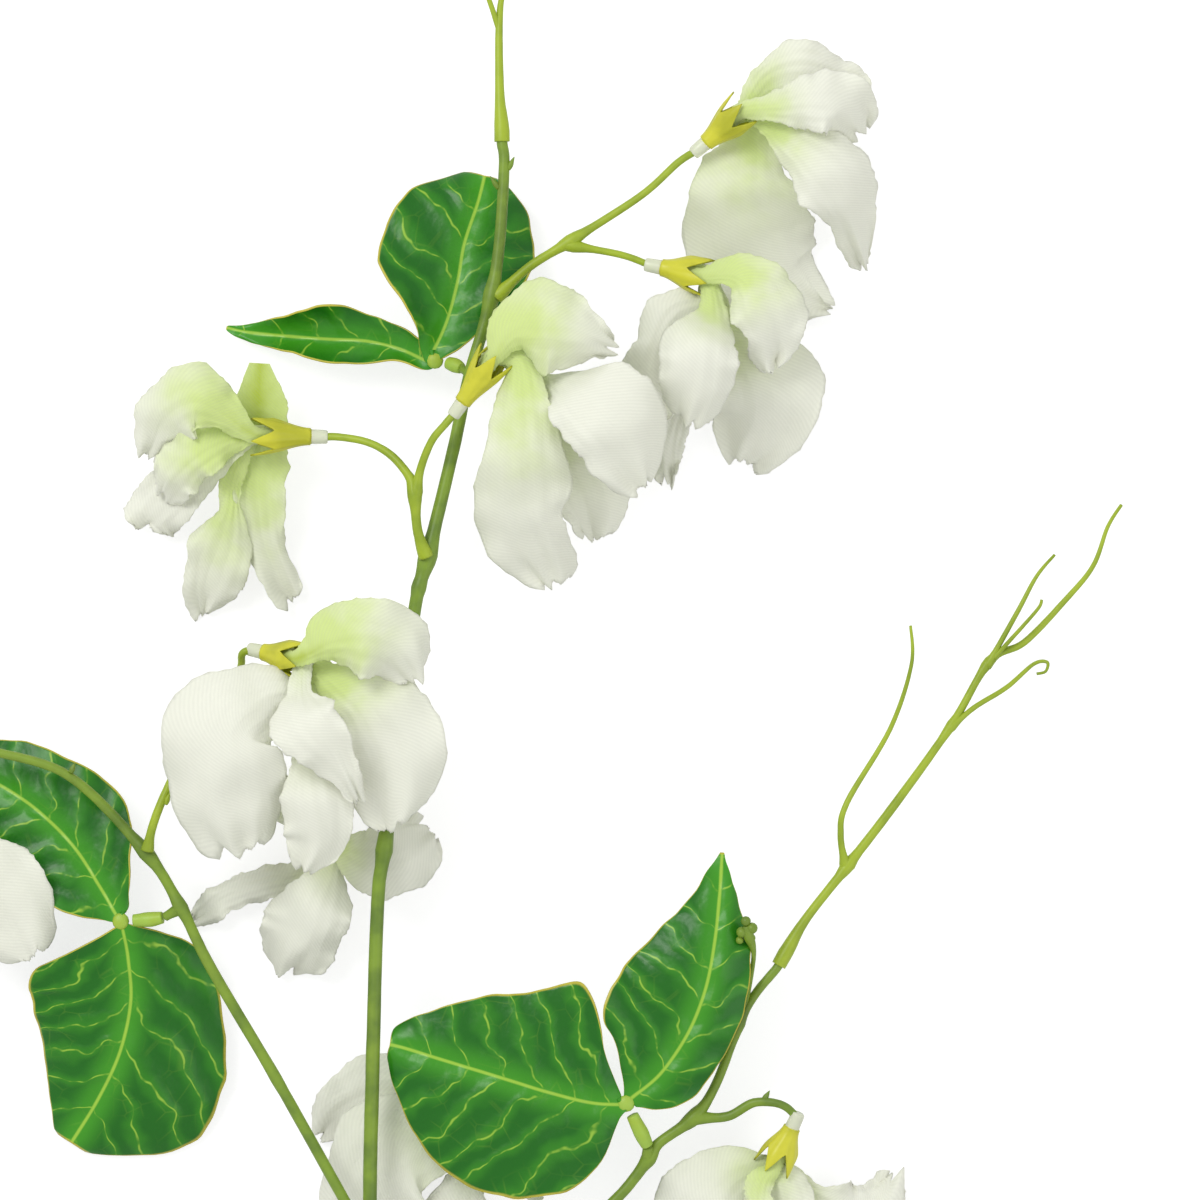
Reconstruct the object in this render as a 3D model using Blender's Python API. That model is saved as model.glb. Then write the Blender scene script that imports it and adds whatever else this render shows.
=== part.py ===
"""Artificial sweet pea spray: one cut stem of cloth blooms, moulded calyces and stalks,
printed leaves in joined pairs, and two tendril sprigs, lying down as it is picked.

All lists below are in millimetres. X and Y lie in the surface that the spray rests on, with the
cut end of the main stem at x = 0, y = 0 and the stem running along +Y; Z is height.
"""
import math

import bpy
from mathutils import Vector

MM = 0.001

# ---- driving dimensions, mm --------------------------------------------------------------
CLOTH = 0.5             # thickness of a petal's solid
LEAF_SHEET = 0.6        # thickness of a leaf's solid
GAP = 0.3               # clearance between touching pieces
SEAT_GAP = 0.35         # clearance between a stalk's end and its calyx
STALK_END_RUN = 2.2     # the straight run of a stalk behind its calyx
STEM_SIDES = 8          # facets round the thick stems
TWIG_SIDES = 6          # facets round thin stalks and tendrils
CALYX_BASE_RADIUS = 1.6
CALYX_MOUTH_RADIUS = 3.5
SEPAL_TIP_RADIUS = 4.1
SEPALS = 5
CLAW_HALF_WIDTH = 1.5   # half the width of a petal where it leaves the calyx
CLAW_START = 1.0        # how far in front of the calyx face a petal starts
CLAW_LENGTH = 2.8       # how far in front of that face it starts to turn aside
CLAW_SPREAD = 1.5       # how much further apart the claws are there than at the face
ROUND_FROM = 0.8        # a petal's end is rounded over its last fifth
ROUND_LEFT = 0.35       # share of the width that is left at the very end
PETAL_ROWS, PETAL_COLUMNS = 8, 5
LEAF_ROWS, LEAF_COLUMNS = 10, 7
HUB_RADIUS, HUB_HEIGHT = 2.1, 1.8
LEAF_START, LEAF_START_WIDTH = 0.7, 1.3     # where a leaf starts in its hub, and its half width there
LEAF_STEP = 0.36        # how far above or below the hub's middle a leaf starts

# ---- stems: (x, y, z, radius) ------------------------------------------------------------
MAIN_STEM = [(0, 0, 1.7, 1.5), (0, 18, 8.5, 1.5), (-0.3, 38, 15.6, 1.45), (-0.6, 60, 18.4, 1.4),
             (0, 88, 19.2, 1.4), (1, 120, 19.6, 1.35), (2.6, 133, 20, 1.35), (8, 176, 20, 1.3),
             (11, 189, 19.8, 1.3), (16, 210, 18.6, 1.25), (19, 224, 18, 1.2), (23, 238, 17.4, 1.2),
             (25, 250, 17, 1.15), (26, 266, 16.6, 1.1), (25.6, 270.5, 16.5, 1.1)]

LEFT_BRANCH = [(0, 51, 17.6, 1.1), (-5, 60, 18.2, 1.1), (-19, 85, 18.4, 1.1), (-32, 107, 18, 1.1),
               (-38, 119, 17.6, 1.05), (-45, 130, 17.4, 1.05), (-60, 145, 17.4, 0.95),
               (-75, 150, 17.6, 0.9), (-81, 151.8, 17.8, 0.9), (-85.6, 151.4, 18, 0.9)]
LEFT_LEAF_STUB = [(-38, 119, 17.6, 0.8), (-41.2, 117.2, 15.8, 0.9)]

RIGHT_BRANCH = [(0.6, 20, 9.4, 1.15), (12, 31, 12, 1.15), (30, 46, 14.2, 1.15), (47, 60, 15.4, 1.1),
                (53.8, 68, 15.8, 1.1), (56.6, 72.2, 16, 1.05), (63.6, 77.4, 16, 1.05),
                (68, 84, 16, 0.95), (74, 99, 16.4, 0.9), (80, 107, 16.8, 0.9)]
RIGHT_LEAF_STUB = [(54.6, 69, 15.8, 0.8), (54.4, 71.6, 17.6, 0.9)]
RIGHT_SIDE_STALK = [(63.6, 77.4, 16, 1), (70.2, 77.6, 16.6, 0.95), (75.6, 80.4, 17.4, 0.9),
                    (81, 80, 18.2, 0.8)]
BUD_STALK = [(73, 96, 16.3, 0.6), (74.6, 104, 17.6, 0.55), (75.4, 110, 20.6, 0.5),
             (74.4, 113.6, 23.2, 1.1), (73.8, 115.6, 24, 0.7)]

UPPER_STALK = [(24.4, 240, 17.4, 0.9), (31, 246, 18, 0.9), (39, 251, 18.2, 0.85), (53, 260, 18.4, 0.75),
               (60.4, 266.6, 18.2, 0.75)]
UPPER_STALK_ARM = [(38, 250.4, 18.2, 0.75), (49, 248.4, 18.8, 0.7)]

MIDDLE_STALK = [(10.6, 188.5, 21.4, 0.95), (8.9, 194, 22.6, 0.95), (8.2, 202, 22.6, 0.9),
                (6.6, 205.4, 21.6, 0.85), (3.2, 209, 20, 0.8), (-1.2, 211.3, 18, 0.75),
                (-6.6, 212.3, 16.6, 0.75)]
MIDDLE_STALK_ARM = [(8.4, 200, 22.6, 0.8), (9.6, 206, 23.8, 0.8), (11.8, 211.4, 25, 0.75),
                    (14.4, 214.6, 25.6, 0.75)]

LOWER_STALK = [(-44.6, 130.4, 19, 0.9), (-43.6, 135, 20, 0.85), (-41.6, 140.4, 20, 0.85),
               (-38, 148, 18.6, 0.8), (-31, 160, 17.6, 0.8), (-26.4, 166, 19.6, 0.75),
               (-25.6, 169.4, 24, 0.75)]
LOWER_STALK_ARM = [(-39.4, 145, 18.9, 0.8), (-31, 143, 14, 0.75), (-22.6, 139.2, 10, 0.75)]

BOTTOM_STALK = [(37, 52, 14.6, 0.8), (34.6, 56, 11.6, 0.8), (33.4, 59.2, 9, 0.75)]

TOP_TENDRIL = [(25.6, 270.9, 16.5, 1.55), (25.5, 274, 16.4, 1.5), (25.1, 281, 16, 0.95),
               (25, 294, 14.6, 0.75), (25.8, 301, 13, 0.55), (28.6, 308, 10.6, 0.45),
               (29.4, 313, 8.6, 0.35)]
TOP_TENDRIL_ARM = [(25, 293, 14.7, 0.6), (22.6, 300, 15, 0.5), (19.6, 305, 15.6, 0.4), (15.8, 307.6, 15, 0.35)]

RIGHT_TENDRIL = [(80.4, 107.6, 16.8, 1.45), (82, 110.4, 16.8, 1.5), (86, 117, 16.4, 0.95),
                 (94.4, 127.6, 15, 0.95), (104, 140, 13, 0.9), (115, 155.2, 9.6, 0.8),
                 (122.6, 167.8, 7.6, 0.75), (129.6, 171.6, 7, 0.7), (137.8, 180, 6, 0.6),
                 (143.4, 186.8, 4.6, 0.5), (146.4, 194.6, 2.8, 0.4), (149.2, 199, 1.4, 0.35)]
RIGHT_TENDRIL_ARMS = [
    [(93.8, 126.8, 15, 0.75), (92.7, 133.4, 17, 0.65), (94, 140, 17.6, 0.6), (102.6, 154.4, 14, 0.5),
     (107, 167, 8, 0.4), (107, 174.8, 4, 0.3)],
    [(113.6, 153.4, 10, 0.6), (119.2, 158.4, 9.4, 0.55), (126, 162.6, 8, 0.5), (131.4, 167.2, 6.4, 0.4),
     (134.1, 167.6, 6.8, 0.35), (133.8, 165.8, 7.6, 0.3), (132, 165.3, 8, 0.3)],
    [(122, 166.6, 7.8, 0.6), (128.2, 177.8, 8.8, 0.5), (132, 184.8, 8.2, 0.4), (135.6, 189, 7, 0.3)],
    [(123.4, 168.4, 8, 0.45), (128.6, 174.2, 9.8, 0.4), (132.2, 178.4, 11, 0.35), (132.8, 180, 11.6, 0.3)],
]

# name -> (the stem that carries it, its path, its bloom, its arms with their blooms)
FLOWER_STALKS = {
    "upper_flower_stalk": (MAIN_STEM, UPPER_STALK, "bloom_top", [(UPPER_STALK_ARM, "bloom_upper")]),
    "middle_flower_stalk": (MAIN_STEM, MIDDLE_STALK, "bloom_left", [(MIDDLE_STALK_ARM, "bloom_centre")]),
    "lower_flower_stalk": (LEFT_BRANCH, LOWER_STALK, "bloom_large", [(LOWER_STALK_ARM, "bloom_under")]),
    "bottom_flower_stalk": (RIGHT_BRANCH, BOTTOM_STALK, "bloom_bottom", []),
}
TENDRILS = {
    "top_tendril": (TOP_TENDRIL, [TOP_TENDRIL_ARM]),
    "right_tendril": (RIGHT_TENDRIL, RIGHT_TENDRIL_ARMS),
}

# ---- leaf pegs: the pale plugs between a stub and a leaf pair, (x, y, z, radius) -----------
LEAF_PEGS = {
    "leaf_peg_upper": [(17.5, 226, 14.4, 1.1), (16.2, 226.6, 13.3, 1.5), (14.75, 227.1, 12.4, 1.2)],
    "leaf_peg_left": [(-41.8, 117, 15.5, 1.2), (-44.4, 116.6, 14.8, 1.5), (-47.6, 116.4, 14.2, 1.2)],
    "leaf_peg_right": [(54.3, 72, 17.9, 1.2), (53.2, 74.4, 19, 1.5), (51.4, 78, 20, 1.2)],
}
UPPER_LEAF_STUB = [(19.2, 224.6, 17.8, 0.8), (17.8, 225.8, 15, 0.85)]

# ---- leaves: each starts at its pair's hub; (x, y, z, left, right, lift_left, lift_right) --
# left and right are the half widths either side of the midrib; the lifts are how far each edge
# stands above the midrib.
LEAF_PAIRS = {
    "leaf_pair_upper": {
        "hub": (12.2, 227.6, 12),
        "leaves": [
            [(11.6, 228.8, 12, 2.2, 2.2, 0, 0), (14.4, 235, 11, 8, 6.6, 2, 1.4),
             (16.6, 243, 9.8, 15.6, 12, 2.6, 0.4), (18, 251, 8.4, 16, 14.6, 0.5, -2),
             (20.6, 259, 7, 12.4, 10.6, -2, -2.4), (22, 264.6, 5.6, 5.6, 4.6, -2, -2)],
            [(10.4, 227.6, 11.4, 1.8, 2.4, 0, 0), (5, 230, 8.4, 2.4, 4.2, 2, 0.4), (-1.6, 231.6, 7, 5, 5.2, 3, 2),
             (-9, 232, 6.2, 4.6, 7, 3, 3.6), (-17, 232.6, 5, 3.2, 4.4, 2.2, 3), (-25, 233.4, 3.6, 2, 1.6, 0.6, 0.6),
             (-29.6, 234.4, 3, 0.9, 0.9, 0, 0)],
        ],
    },
    "leaf_pair_left": {
        "hub": (-50.2, 116.2, 13.2),
        "leaves": [
            [(-51.2, 117.6, 13, 2.6, 3, 0, 0), (-54.4, 123, 12, 9, 7, 1, 0.6), (-60, 131.4, 11, 13.4, 13.4, 0.4, 0),
             (-68, 139, 10, 12.6, 12, -1.6, -1), (-77, 144.4, 8, 8.6, 8.6, -2.4, -2.4), (-85, 147, 6, 2.6, 2.6, -1, -1)],
            [(-49.8, 114.6, 13, 3, 3, 0, 0), (-48.8, 108.6, 11, 14.6, 18.6, -2.4, -1), (-48.4, 100, 9.6, 18, 20.4, -3.4, -3),
             (-50.6, 90, 8, 21.6, 17.4, -5, -3.6), (-55, 80.6, 5.6, 20, 12, -3.6, -3), (-60.6, 71.6, 3, 6.6, 6, -1.6, -1.6)],
        ],
    },
    "leaf_pair_right": {
        "hub": (50.2, 80.4, 20.6),
        "leaves": [
            [(48.6, 80.2, 20.6, 3.6, 3, 0, 0), (43, 80.6, 21, 17, 14, -2, 1), (35, 82.6, 21.6, 21.8, 22.4, -2.4, 0.6),
             (26, 85.4, 22, 22.6, 18, -3, 0), (16, 88.4, 21.4, 18.4, 13.4, -3, -1), (6.8, 91.2, 20, 9, 7, -2, -1),
             (3.4, 92, 19.4, 4, 4, -1, -1)],
            [(51.6, 81.8, 20.8, 3, 3, 0, 0), (57, 86.4, 21.4, 14.6, 7.8, 2.4, -1), (62.4, 94.4, 22.4, 17.6, 8.2, 1, -2),
             (65.8, 103, 23, 16.6, 8.4, -1, -2.4), (67.6, 112, 22.6, 12, 7, -1.4, -2), (68.6, 121, 21, 5.8, 3.6, -1, -1),
             (69.2, 130, 19, 0.8, 0.8, 0, 0)],
        ],
    },
}

# ---- blooms ------------------------------------------------------------------------------
# calyx: (base, mouth, roll in degrees).
# petals: name -> (slot, cup_left, cup_right, rows). The slot is the petal's place across the
# calyx mouth, highest first. A cup is how much an edge rises or falls for each mm of half
# width. Rows are (x, y, z, left, right), from the claw to the tip.
BLOOMS = {
    "bloom_centre": {
        "calyx": ((17.9, 219, 26), (22.8, 225.8, 27), 20),
        "petals": {
            "wing_left": (1.9, -0.55, -0.8, [
                (28.2, 232.6, 33, 5.6, 3.4), (35, 233.4, 35.4, 7.8, 7.4), (41, 231.8, 34.4, 4.8, 4.8),
                (47.6, 229.4, 30, 2.2, 2.2)]),
            "standard": (0.65, -0.35, -0.5, [
                (29, 226.6, 28.8, 2.4, 2.2), (29.8, 216.4, 31, 5, 5.2), (29.6, 204, 28, 7.4, 7),
                (31, 194, 20.6, 5.4, 7.6), (35.4, 183, 10, 6, 3.6)]),
            "wing_right": (-0.5, -0.35, -0.45, [
                (35, 223.4, 26.2, 1.8, 1.8), (40, 218.6, 34.6, 9, 4.2), (46.8, 211.6, 35.4, 10.4, 5.4),
                (53.4, 202.6, 26, 3.4, 5)]),
            "keel": (-2.1, 0.15, 0.2, [
                (31, 224, 23.6, 2, 2), (36.6, 214, 18.6, 4, 3.6), (41.8, 202, 13, 7, 5.4), (44, 192.6, 5, 4.4, 3.4)]),
        },
    },
    "bloom_upper": {
        "calyx": ((57.2, 245.8, 19.6), (63.2, 244.6, 20.4), 40),
        "petals": {
            "wing_left": (0, -0.5, -0.4, [
                (65.6, 239, 19.4, 2.2, 2), (60, 236.4, 20, 4, 4.2), (56.4, 230, 19, 3.6, 3.6),
                (54.8, 221.6, 15, 5, 5.4), (56.4, 214.4, 10.6, 3, 3)]),
            "keel": (1.1, -0.6, -0.65, [
                (67, 237, 25.4, 2.4, 2.6), (65, 230.6, 33, 6, 6), (64, 223, 32, 6.2, 6.2), (62.2, 215.4, 23, 4.4, 3)]),
            "wing_right": (2.2, -0.5, -0.5, [
                (72.4, 243.6, 29.4, 4.4, 2.2), (76.4, 238, 31, 7.2, 4.8), (78.6, 231.4, 27, 5.2, 3.6),
                (79.4, 225.4, 21, 2.4, 2.6)]),
            "standard": (-1.1, -0.3, -0.3, [
                (70.4, 233, 17, 3, 3), (75.6, 224.4, 16.6, 9.4, 6), (77, 216.8, 12.6, 8.6, 8), (73.2, 207.4, 3.4, 5, 4.6)]),
            "tail_petal": (-2.2, 0.1, 0.1, [
                (65.4, 231, 12.6, 2.6, 2.6), (61.4, 220.4, 7, 3, 2.6), (58.8, 211.6, 4, 2.4, 2.4), (58.8, 203.6, 1.6, 1.8, 1.6)]),
        },
    },
    "bloom_top": {
        "calyx": ((66, 270.6, 18.2), (71.4, 275.2, 19.1), 75),
        "petals": {
            "keel": (0.65, -0.3, -0.3, [
                (78, 283.4, 21.4, 3, 4), (85, 285, 24, 4.2, 4.6), (92, 283, 22, 3.4, 4), (97.4, 278.6, 17.4, 2.6, 3)]),
            "wing_left": (1.9, -0.45, -0.6, [
                (80, 277.4, 27.4, 2.6, 2.8), (86.4, 278, 31.6, 4.6, 4.6), (92.4, 277.2, 30.4, 5.4, 5),
                (96.4, 272.6, 22, 4, 3.2)]),
            "wing_right": (-0.65, -0.5, -0.5, [
                (78.6, 273.6, 20.6, 2, 2), (84, 268.8, 25.6, 4.6, 3), (90, 263, 27.6, 7.4, 5.6),
                (94.6, 255, 18.6, 4.6, 3.4), (98, 246.6, 5, 1.8, 1.8)]),
            "standard": (-1.9, -0.25, -0.35, [
                (75.4, 270.4, 14.2, 4.4, 6), (74.8, 262, 16.6, 7.4, 8.8), (75.8, 252, 9.6, 9.6, 10.6),
                (80.6, 243, 5, 8, 7.6), (90.6, 238.2, 2, 2, 2.4)]),
        },
    },
    "bloom_left": {
        "calyx": ((-12.4, 212.4, 16), (-20.8, 212.6, 16.4), 0),
        "petals": {
            "wing_left": (2.2, -0.5, -0.55, [
                (-29, 216.4, 23.6, 3, 3.4), (-35, 219.4, 26.4, 5.4, 5.6), (-41, 216.4, 22.6, 5.6, 5),
                (-45, 208.6, 13.6, 3.2, 3.2)]),
            "keel": (1.1, -0.5, -0.35, [
                (-29, 211.6, 19, 3, 3.2), (-35, 208.4, 21.4, 3.8, 4.4), (-39.6, 204.4, 17.6, 4, 3.6),
                (-41.8, 200.8, 12.4, 3.2, 2.4)]),
            "wing_right": (0, -0.3, -0.3, [
                (-31, 208, 15.4, 2.6, 2.6), (-38.6, 202, 10.8, 4.2, 5), (-44, 197, 6, 4.4, 4.6), (-46, 194.4, 3, 3.4, 3.4)]),
            "lower_petal": (-1.1, -0.3, -0.3, [
                (-27.6, 205.2, 13, 2, 1.8), (-28.2, 198, 12.4, 2, 2.6), (-30.2, 190.6, 10, 4.6, 6),
                (-33, 183.6, 6, 5, 4), (-34.2, 177, 1.4, 2, 2)]),
            "standard": (None, 0.1, 0.2, [
                (-22.4, 227, 13.4, 1.8, 2.2), (-22.8, 219, 12.4, 5.4, 4.4), (-22.4, 211, 11.2, 4.2, 3.8),
                (-22.4, 202, 10.6, 4.2, 4.2), (-21.2, 191, 7.4, 3.4, 3.6), (-16.4, 180, 2, 3, 2.4)]),
        },
    },
    "bloom_large": {
        "calyx": ((-21.4, 169.7, 25.2), (-16, 168.6, 28), 110),
        "petals": {
            "wing_left": (2.4, -0.5, -0.6, [
                (-11.6, 169.8, 36, 2.6, 2), (-7.4, 172, 39.8, 5.2, 3.4), (-1, 172.4, 43.4, 6.8, 6), (5, 170, 40, 6.2, 5.4), (8.6, 164.4, 33.4, 3.4, 3)]),
            "wing_right": (-1.4, -0.25, -0.3, [
                (-8, 164.4, 31.6, 3, 3), (-1.4, 158.4, 34.4, 8.6, 4), (3.8, 149, 31.4, 8.8, 8), (4.6, 135.2, 26, 4.4, 5)]),
            "standard": (-0.35, -0.4, -0.7, [
                (-14.6, 163.2, 30.6, 2, 2), (-21, 161, 35, 5.4, 5.4), (-28, 154.6, 38.6, 8, 9.6), (-28, 143.4, 35, 9.2, 9.6),
                (-25.4, 130.6, 26, 6.4, 7)]),
            "keel": (0.6, -0.1, -0.4, [
                (-13.6, 162, 34.8, 2, 2.4), (-12, 157, 43, 4.8, 6.6), (-7, 150, 41, 3, 4.4), (-2.4, 140.6, 34.4, 1.6, 1.6)]),
            "lower_petal": (-2.4, -0.4, -0.4, [
                (-12.6, 158, 29.4, 2, 2), (-12, 148, 33, 4, 3.4), (-11, 140, 34.6, 6, 5.6), (-10.4, 132.6, 30, 5.4, 5.8),
                (-13, 126.8, 25, 2.6, 2.6)]),
        },
    },
    "bloom_under": {
        "calyx": ((-16.4, 136, 9.6), (-10.4, 133, 10), 0),
        "petals": {
            "wing_left": (-0.9, -0.2, -0.2, [
                (-12, 125.6, 7, 2.4, 2.2), (-22, 123.4, 6, 2.4, 2.2), (-30, 120.6, 4.4, 2.4, 2.4), (-36.4, 116, 1.6, 1.8, 2)]),
            "keel": (0.9, -0.45, -0.45, [
                (-8.2, 126.6, 12, 2.4, 2.2), (-11.2, 119.2, 14, 5.4, 6), (-14, 112, 10.6, 5.6, 7.4), (-17.8, 105.4, 2.4, 4, 4.4)]),
            "wing_right": (2.1, -0.35, -0.4, [
                (-2, 129.4, 15, 4.6, 5.4), (5, 129.6, 14.4, 7.4, 6.4), (11.4, 133.6, 9, 5, 4)]),
        },
    },
    "bloom_far_left": {
        "calyx": ((-87.6, 147, 18.4), (-87.8, 140.4, 18.8), 0),
        "petals": {
            "keel": (1.9, -0.5, -0.5, [
                (-87.6, 130.6, 27, 4, 4), (-88, 121, 27.6, 6.4, 6.4), (-88.6, 111.6, 17, 4, 4)]),
            "wing_left": (-0.65, -0.35, -0.4, [
                (-82, 131, 18.4, 4.4, 4), (-75, 121.6, 18.6, 8.6, 7.6), (-67.6, 109.6, 14, 4.6, 5)]),
            "wing_right": (-1.9, -0.5, -0.4, [
                (-93.6, 131, 16.6, 4, 4.6), (-98.4, 121.6, 12.6, 6, 7.4), (-100.4, 111.4, 2, 4, 4)]),
        },
    },
    "bloom_bottom": {
        "calyx": ((30.7, 62.6, 8.2), (26.4, 67.4, 8), 0),
        "petals": {
            "wing_left": (-1.3, -0.1, -0.15, [
                (14, 77, 5.6, 4, 5), (3, 80, 5, 6, 7), (-5, 77.4, 4, 8, 6.4), (-10, 73, 2, 5, 3.6)]),
            "keel": (1.6, -0.2, -0.25, [
                (15, 72, 11.4, 5, 4.6), (5, 71, 12, 9, 9.4), (-2, 64, 10.4, 11, 6.6), (-6.4, 53.6, 4, 6, 4)]),
            "wing_right": (0.1, -0.3, -0.3, [
                (18.4, 62.6, 8, 3, 4), (16.2, 52, 7.4, 8, 7), (17, 40, 2, 5, 5)]),
        },
    },
    "bloom_low_right": {
        "calyx": ((83, 75.4, 17.4), (80.8, 70.6, 16), 36),
        "petals": {
            "wing_left": (-0.65, -0.3, -0.35, [
                (72.6, 65.6, 15.6, 4, 5.6), (66.6, 60, 15.6, 8, 8), (62.4, 52, 11.4, 9, 7), (62, 43, 3, 5, 5)]),
            "keel": (1.9, -0.5, -0.5, [
                (77, 64.6, 19.6, 2.4, 2.4), (76, 59, 22, 3, 3), (77, 51.6, 18, 4, 4), (79, 45, 9, 3, 3)]),
            "wing_right": (0.65, -0.4, -0.3, [
                (82, 64.4, 16.4, 3, 3), (84, 57, 15.6, 3.6, 4.6), (84.4, 49.6, 10, 4, 5), (83.6, 41.6, 2, 3, 3)]),
            "standard": (-1.9, -0.2, -0.3, [
                (86.4, 61.6, 10, 3, 4), (94, 57.4, 7.6, 5, 6), (100.4, 59.4, 5, 4, 5.4), (104, 65.6, 2.6, 2.2, 2.6)]),
        },
    },
}


# ---- helpers -----------------------------------------------------------------------------
def material(name, colour, roughness):
    """A Principled material with one colour and roughness."""
    made = bpy.data.materials.new(name)
    made.use_nodes = True
    shader = made.node_tree.nodes["Principled BSDF"]
    shader.inputs["Base Color"].default_value = (*colour, 1.0)
    shader.inputs["Roughness"].default_value = roughness
    shader.inputs["Metallic"].default_value = 0.0
    return made


def catmull(rows, position):
    """The smooth curve through rows of numbers, at position 0..1 along them."""
    place = min(position, 1 - 1e-9) * (len(rows) - 1)
    index = int(place)
    t = place - index
    before, here, there, after = (rows[min(max(index + k, 0), len(rows) - 1)] for k in (-1, 0, 1, 2))
    return [0.5 * (2 * b + (c - a) * t + (2 * a - 5 * b + 4 * c - d) * t * t + (3 * b - a - 3 * c + d) * t ** 3)
            for a, b, c, d in zip(before, here, there, after)]


def new_object(name, points, faces, colour_slot):
    """A mesh object from points in mm."""
    mesh = bpy.data.meshes.new(name)
    mesh.from_pydata([Vector(point) * MM for point in points], [], faces)
    mesh.materials.append(colour_slot)
    mesh.validate()
    made = bpy.data.objects.new(name, mesh)
    bpy.context.scene.collection.objects.link(made)
    return made


def add_solidify(target, thickness):
    """Give an open sheet its thickness, half to each side."""
    solidify = target.modifiers.new("thickness", "SOLIDIFY")
    solidify.thickness = thickness * MM
    solidify.offset = 0.0


def add_union(target, other, solver="EXACT"):
    """Fuse another object into the target; the other is then only a guide."""
    union = target.modifiers.new("union", "BOOLEAN")
    union.solver = solver
    union.operation = "UNION"
    union.object = other
    other.hide_render = True
    other.display_type = "WIRE"
    other["guide"] = True


# ---- tubes -------------------------------------------------------------------------------
def tube_rings(path, sides, steps):
    """Rings of points round a smooth path of (x, y, z, radius)."""
    samples = [catmull(path, k / steps) for k in range(steps + 1)]
    centres = [Vector(sample[:3]) for sample in samples]
    rings = []
    across = None
    for k, centre in enumerate(centres):
        tangent = (centres[min(k + 1, steps)] - centres[max(k - 1, 0)]).normalized()
        if across is None:
            across = tangent.cross(Vector((0, 0, 1))).normalized()
        across = (across - tangent * across.dot(tangent)).normalized()
        up = tangent.cross(across)
        radius = samples[k][3]
        rings.append([centre + (across * math.cos(a) + up * math.sin(a)) * radius
                      for a in (2 * math.pi * (side + 0.5) / sides for side in range(sides))])
    return rings


def tube(name, path, sides, colour_slot, steps=None):
    """A closed tube along a smooth path."""
    steps = steps or 2 * (len(path) - 1)
    rings = tube_rings(path, sides, steps)
    points = [point for ring in rings for point in ring]
    faces = [list(reversed(range(sides))), [steps * sides + side for side in range(sides)]]
    for k in range(steps):
        for side in range(sides):
            nearer, further = k * sides, (k + 1) * sides
            following = (side + 1) % sides
            faces.append((nearer + side, nearer + following, further + following, further + side))
    return new_object(name, points, faces, colour_slot)


def to_calyx(path, bloom):
    """The path with its end brought square onto the back of the bloom's calyx."""
    base, mouth, _ = BLOOMS[bloom]["calyx"]
    base = Vector(base)
    axis = (Vector(mouth) - base).normalized()
    radius = path[-1][3]
    return list(path) + [(*(base - axis * STALK_END_RUN), radius), (*(base - axis * SEAT_GAP), radius)]


def point_to_path(point, path):
    """Distance from a point to the skin of a tube."""
    nearest = math.inf
    for start, end in zip(path, path[1:]):
        a, b = Vector(start[:3]), Vector(end[:3])
        share = min(max((point - a).dot(b - a) / (b - a).length_squared, 0), 1)
        radius = start[3] + (end[3] - start[3]) * share
        nearest = min(nearest, (point - a.lerp(b, share)).length - radius)
    return nearest


def seated(path, carrier):
    """The path, shortened at its start until its end face clears the tube that carries it."""
    fine = [catmull(carrier, k / 60) for k in range(61)]
    for step in range(0, 400):
        share = step / 400
        sample = catmull(path, share)
        ahead = catmull(path, share + 0.005)
        centre = Vector(sample[:3])
        tangent = (Vector(ahead[:3]) - centre).normalized()
        across = tangent.cross(Vector((0, 0, 1))).normalized()
        up = tangent.cross(across)
        rim = [centre + (across * math.cos(a) + up * math.sin(a)) * sample[3]
               for a in (math.pi * k / 6 for k in range(12))]
        if min(point_to_path(point, fine) for point in rim) > GAP:
            first = share * (len(path) - 1)
            return [tuple(sample)] + [row for k, row in enumerate(path) if k > first + 0.15]
    raise ValueError("a stalk never clears the stem that carries it")


# ---- sheets: petals and leaves -----------------------------------------------------------
def sheet_point(rows, along, across):
    """A point of a sheet: along its spine 0..1, across it -1 (left) .. 1 (right)."""
    x, y, z, left, right, lift_left, lift_right = catmull(rows, along)
    behind, ahead = catmull(rows, max(along - 0.02, 0)), catmull(rows, min(along + 0.02, 1))
    heading = Vector((ahead[0] - behind[0], ahead[1] - behind[1], 0)).normalized()
    side = Vector((heading.y, -heading.x, 0))
    half_width, lift = (right, lift_right) if across > 0 else (left, lift_left)
    if along > ROUND_FROM:
        fall = (along - ROUND_FROM) / (1 - ROUND_FROM)
        half_width *= ROUND_LEFT + (1 - ROUND_LEFT) * math.sqrt(1 - fall * fall)
    return Vector((x, y, z + lift * across * across)) + side * half_width * across


def sheet(name, rows, thickness, grid, colour_slot):
    """A closed sheet over a grid of points."""
    count_along, count_across = grid
    points = [sheet_point(rows, k / count_along, 2 * m / count_across - 1)
              for k in range(count_along + 1) for m in range(count_across + 1)]
    width = count_across + 1
    faces = [(k * width + m, k * width + m + 1, (k + 1) * width + m + 1, (k + 1) * width + m)
             for k in range(count_along) for m in range(count_across)]
    made = new_object(name, points, faces, colour_slot)
    add_solidify(made, thickness)
    return made


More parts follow.
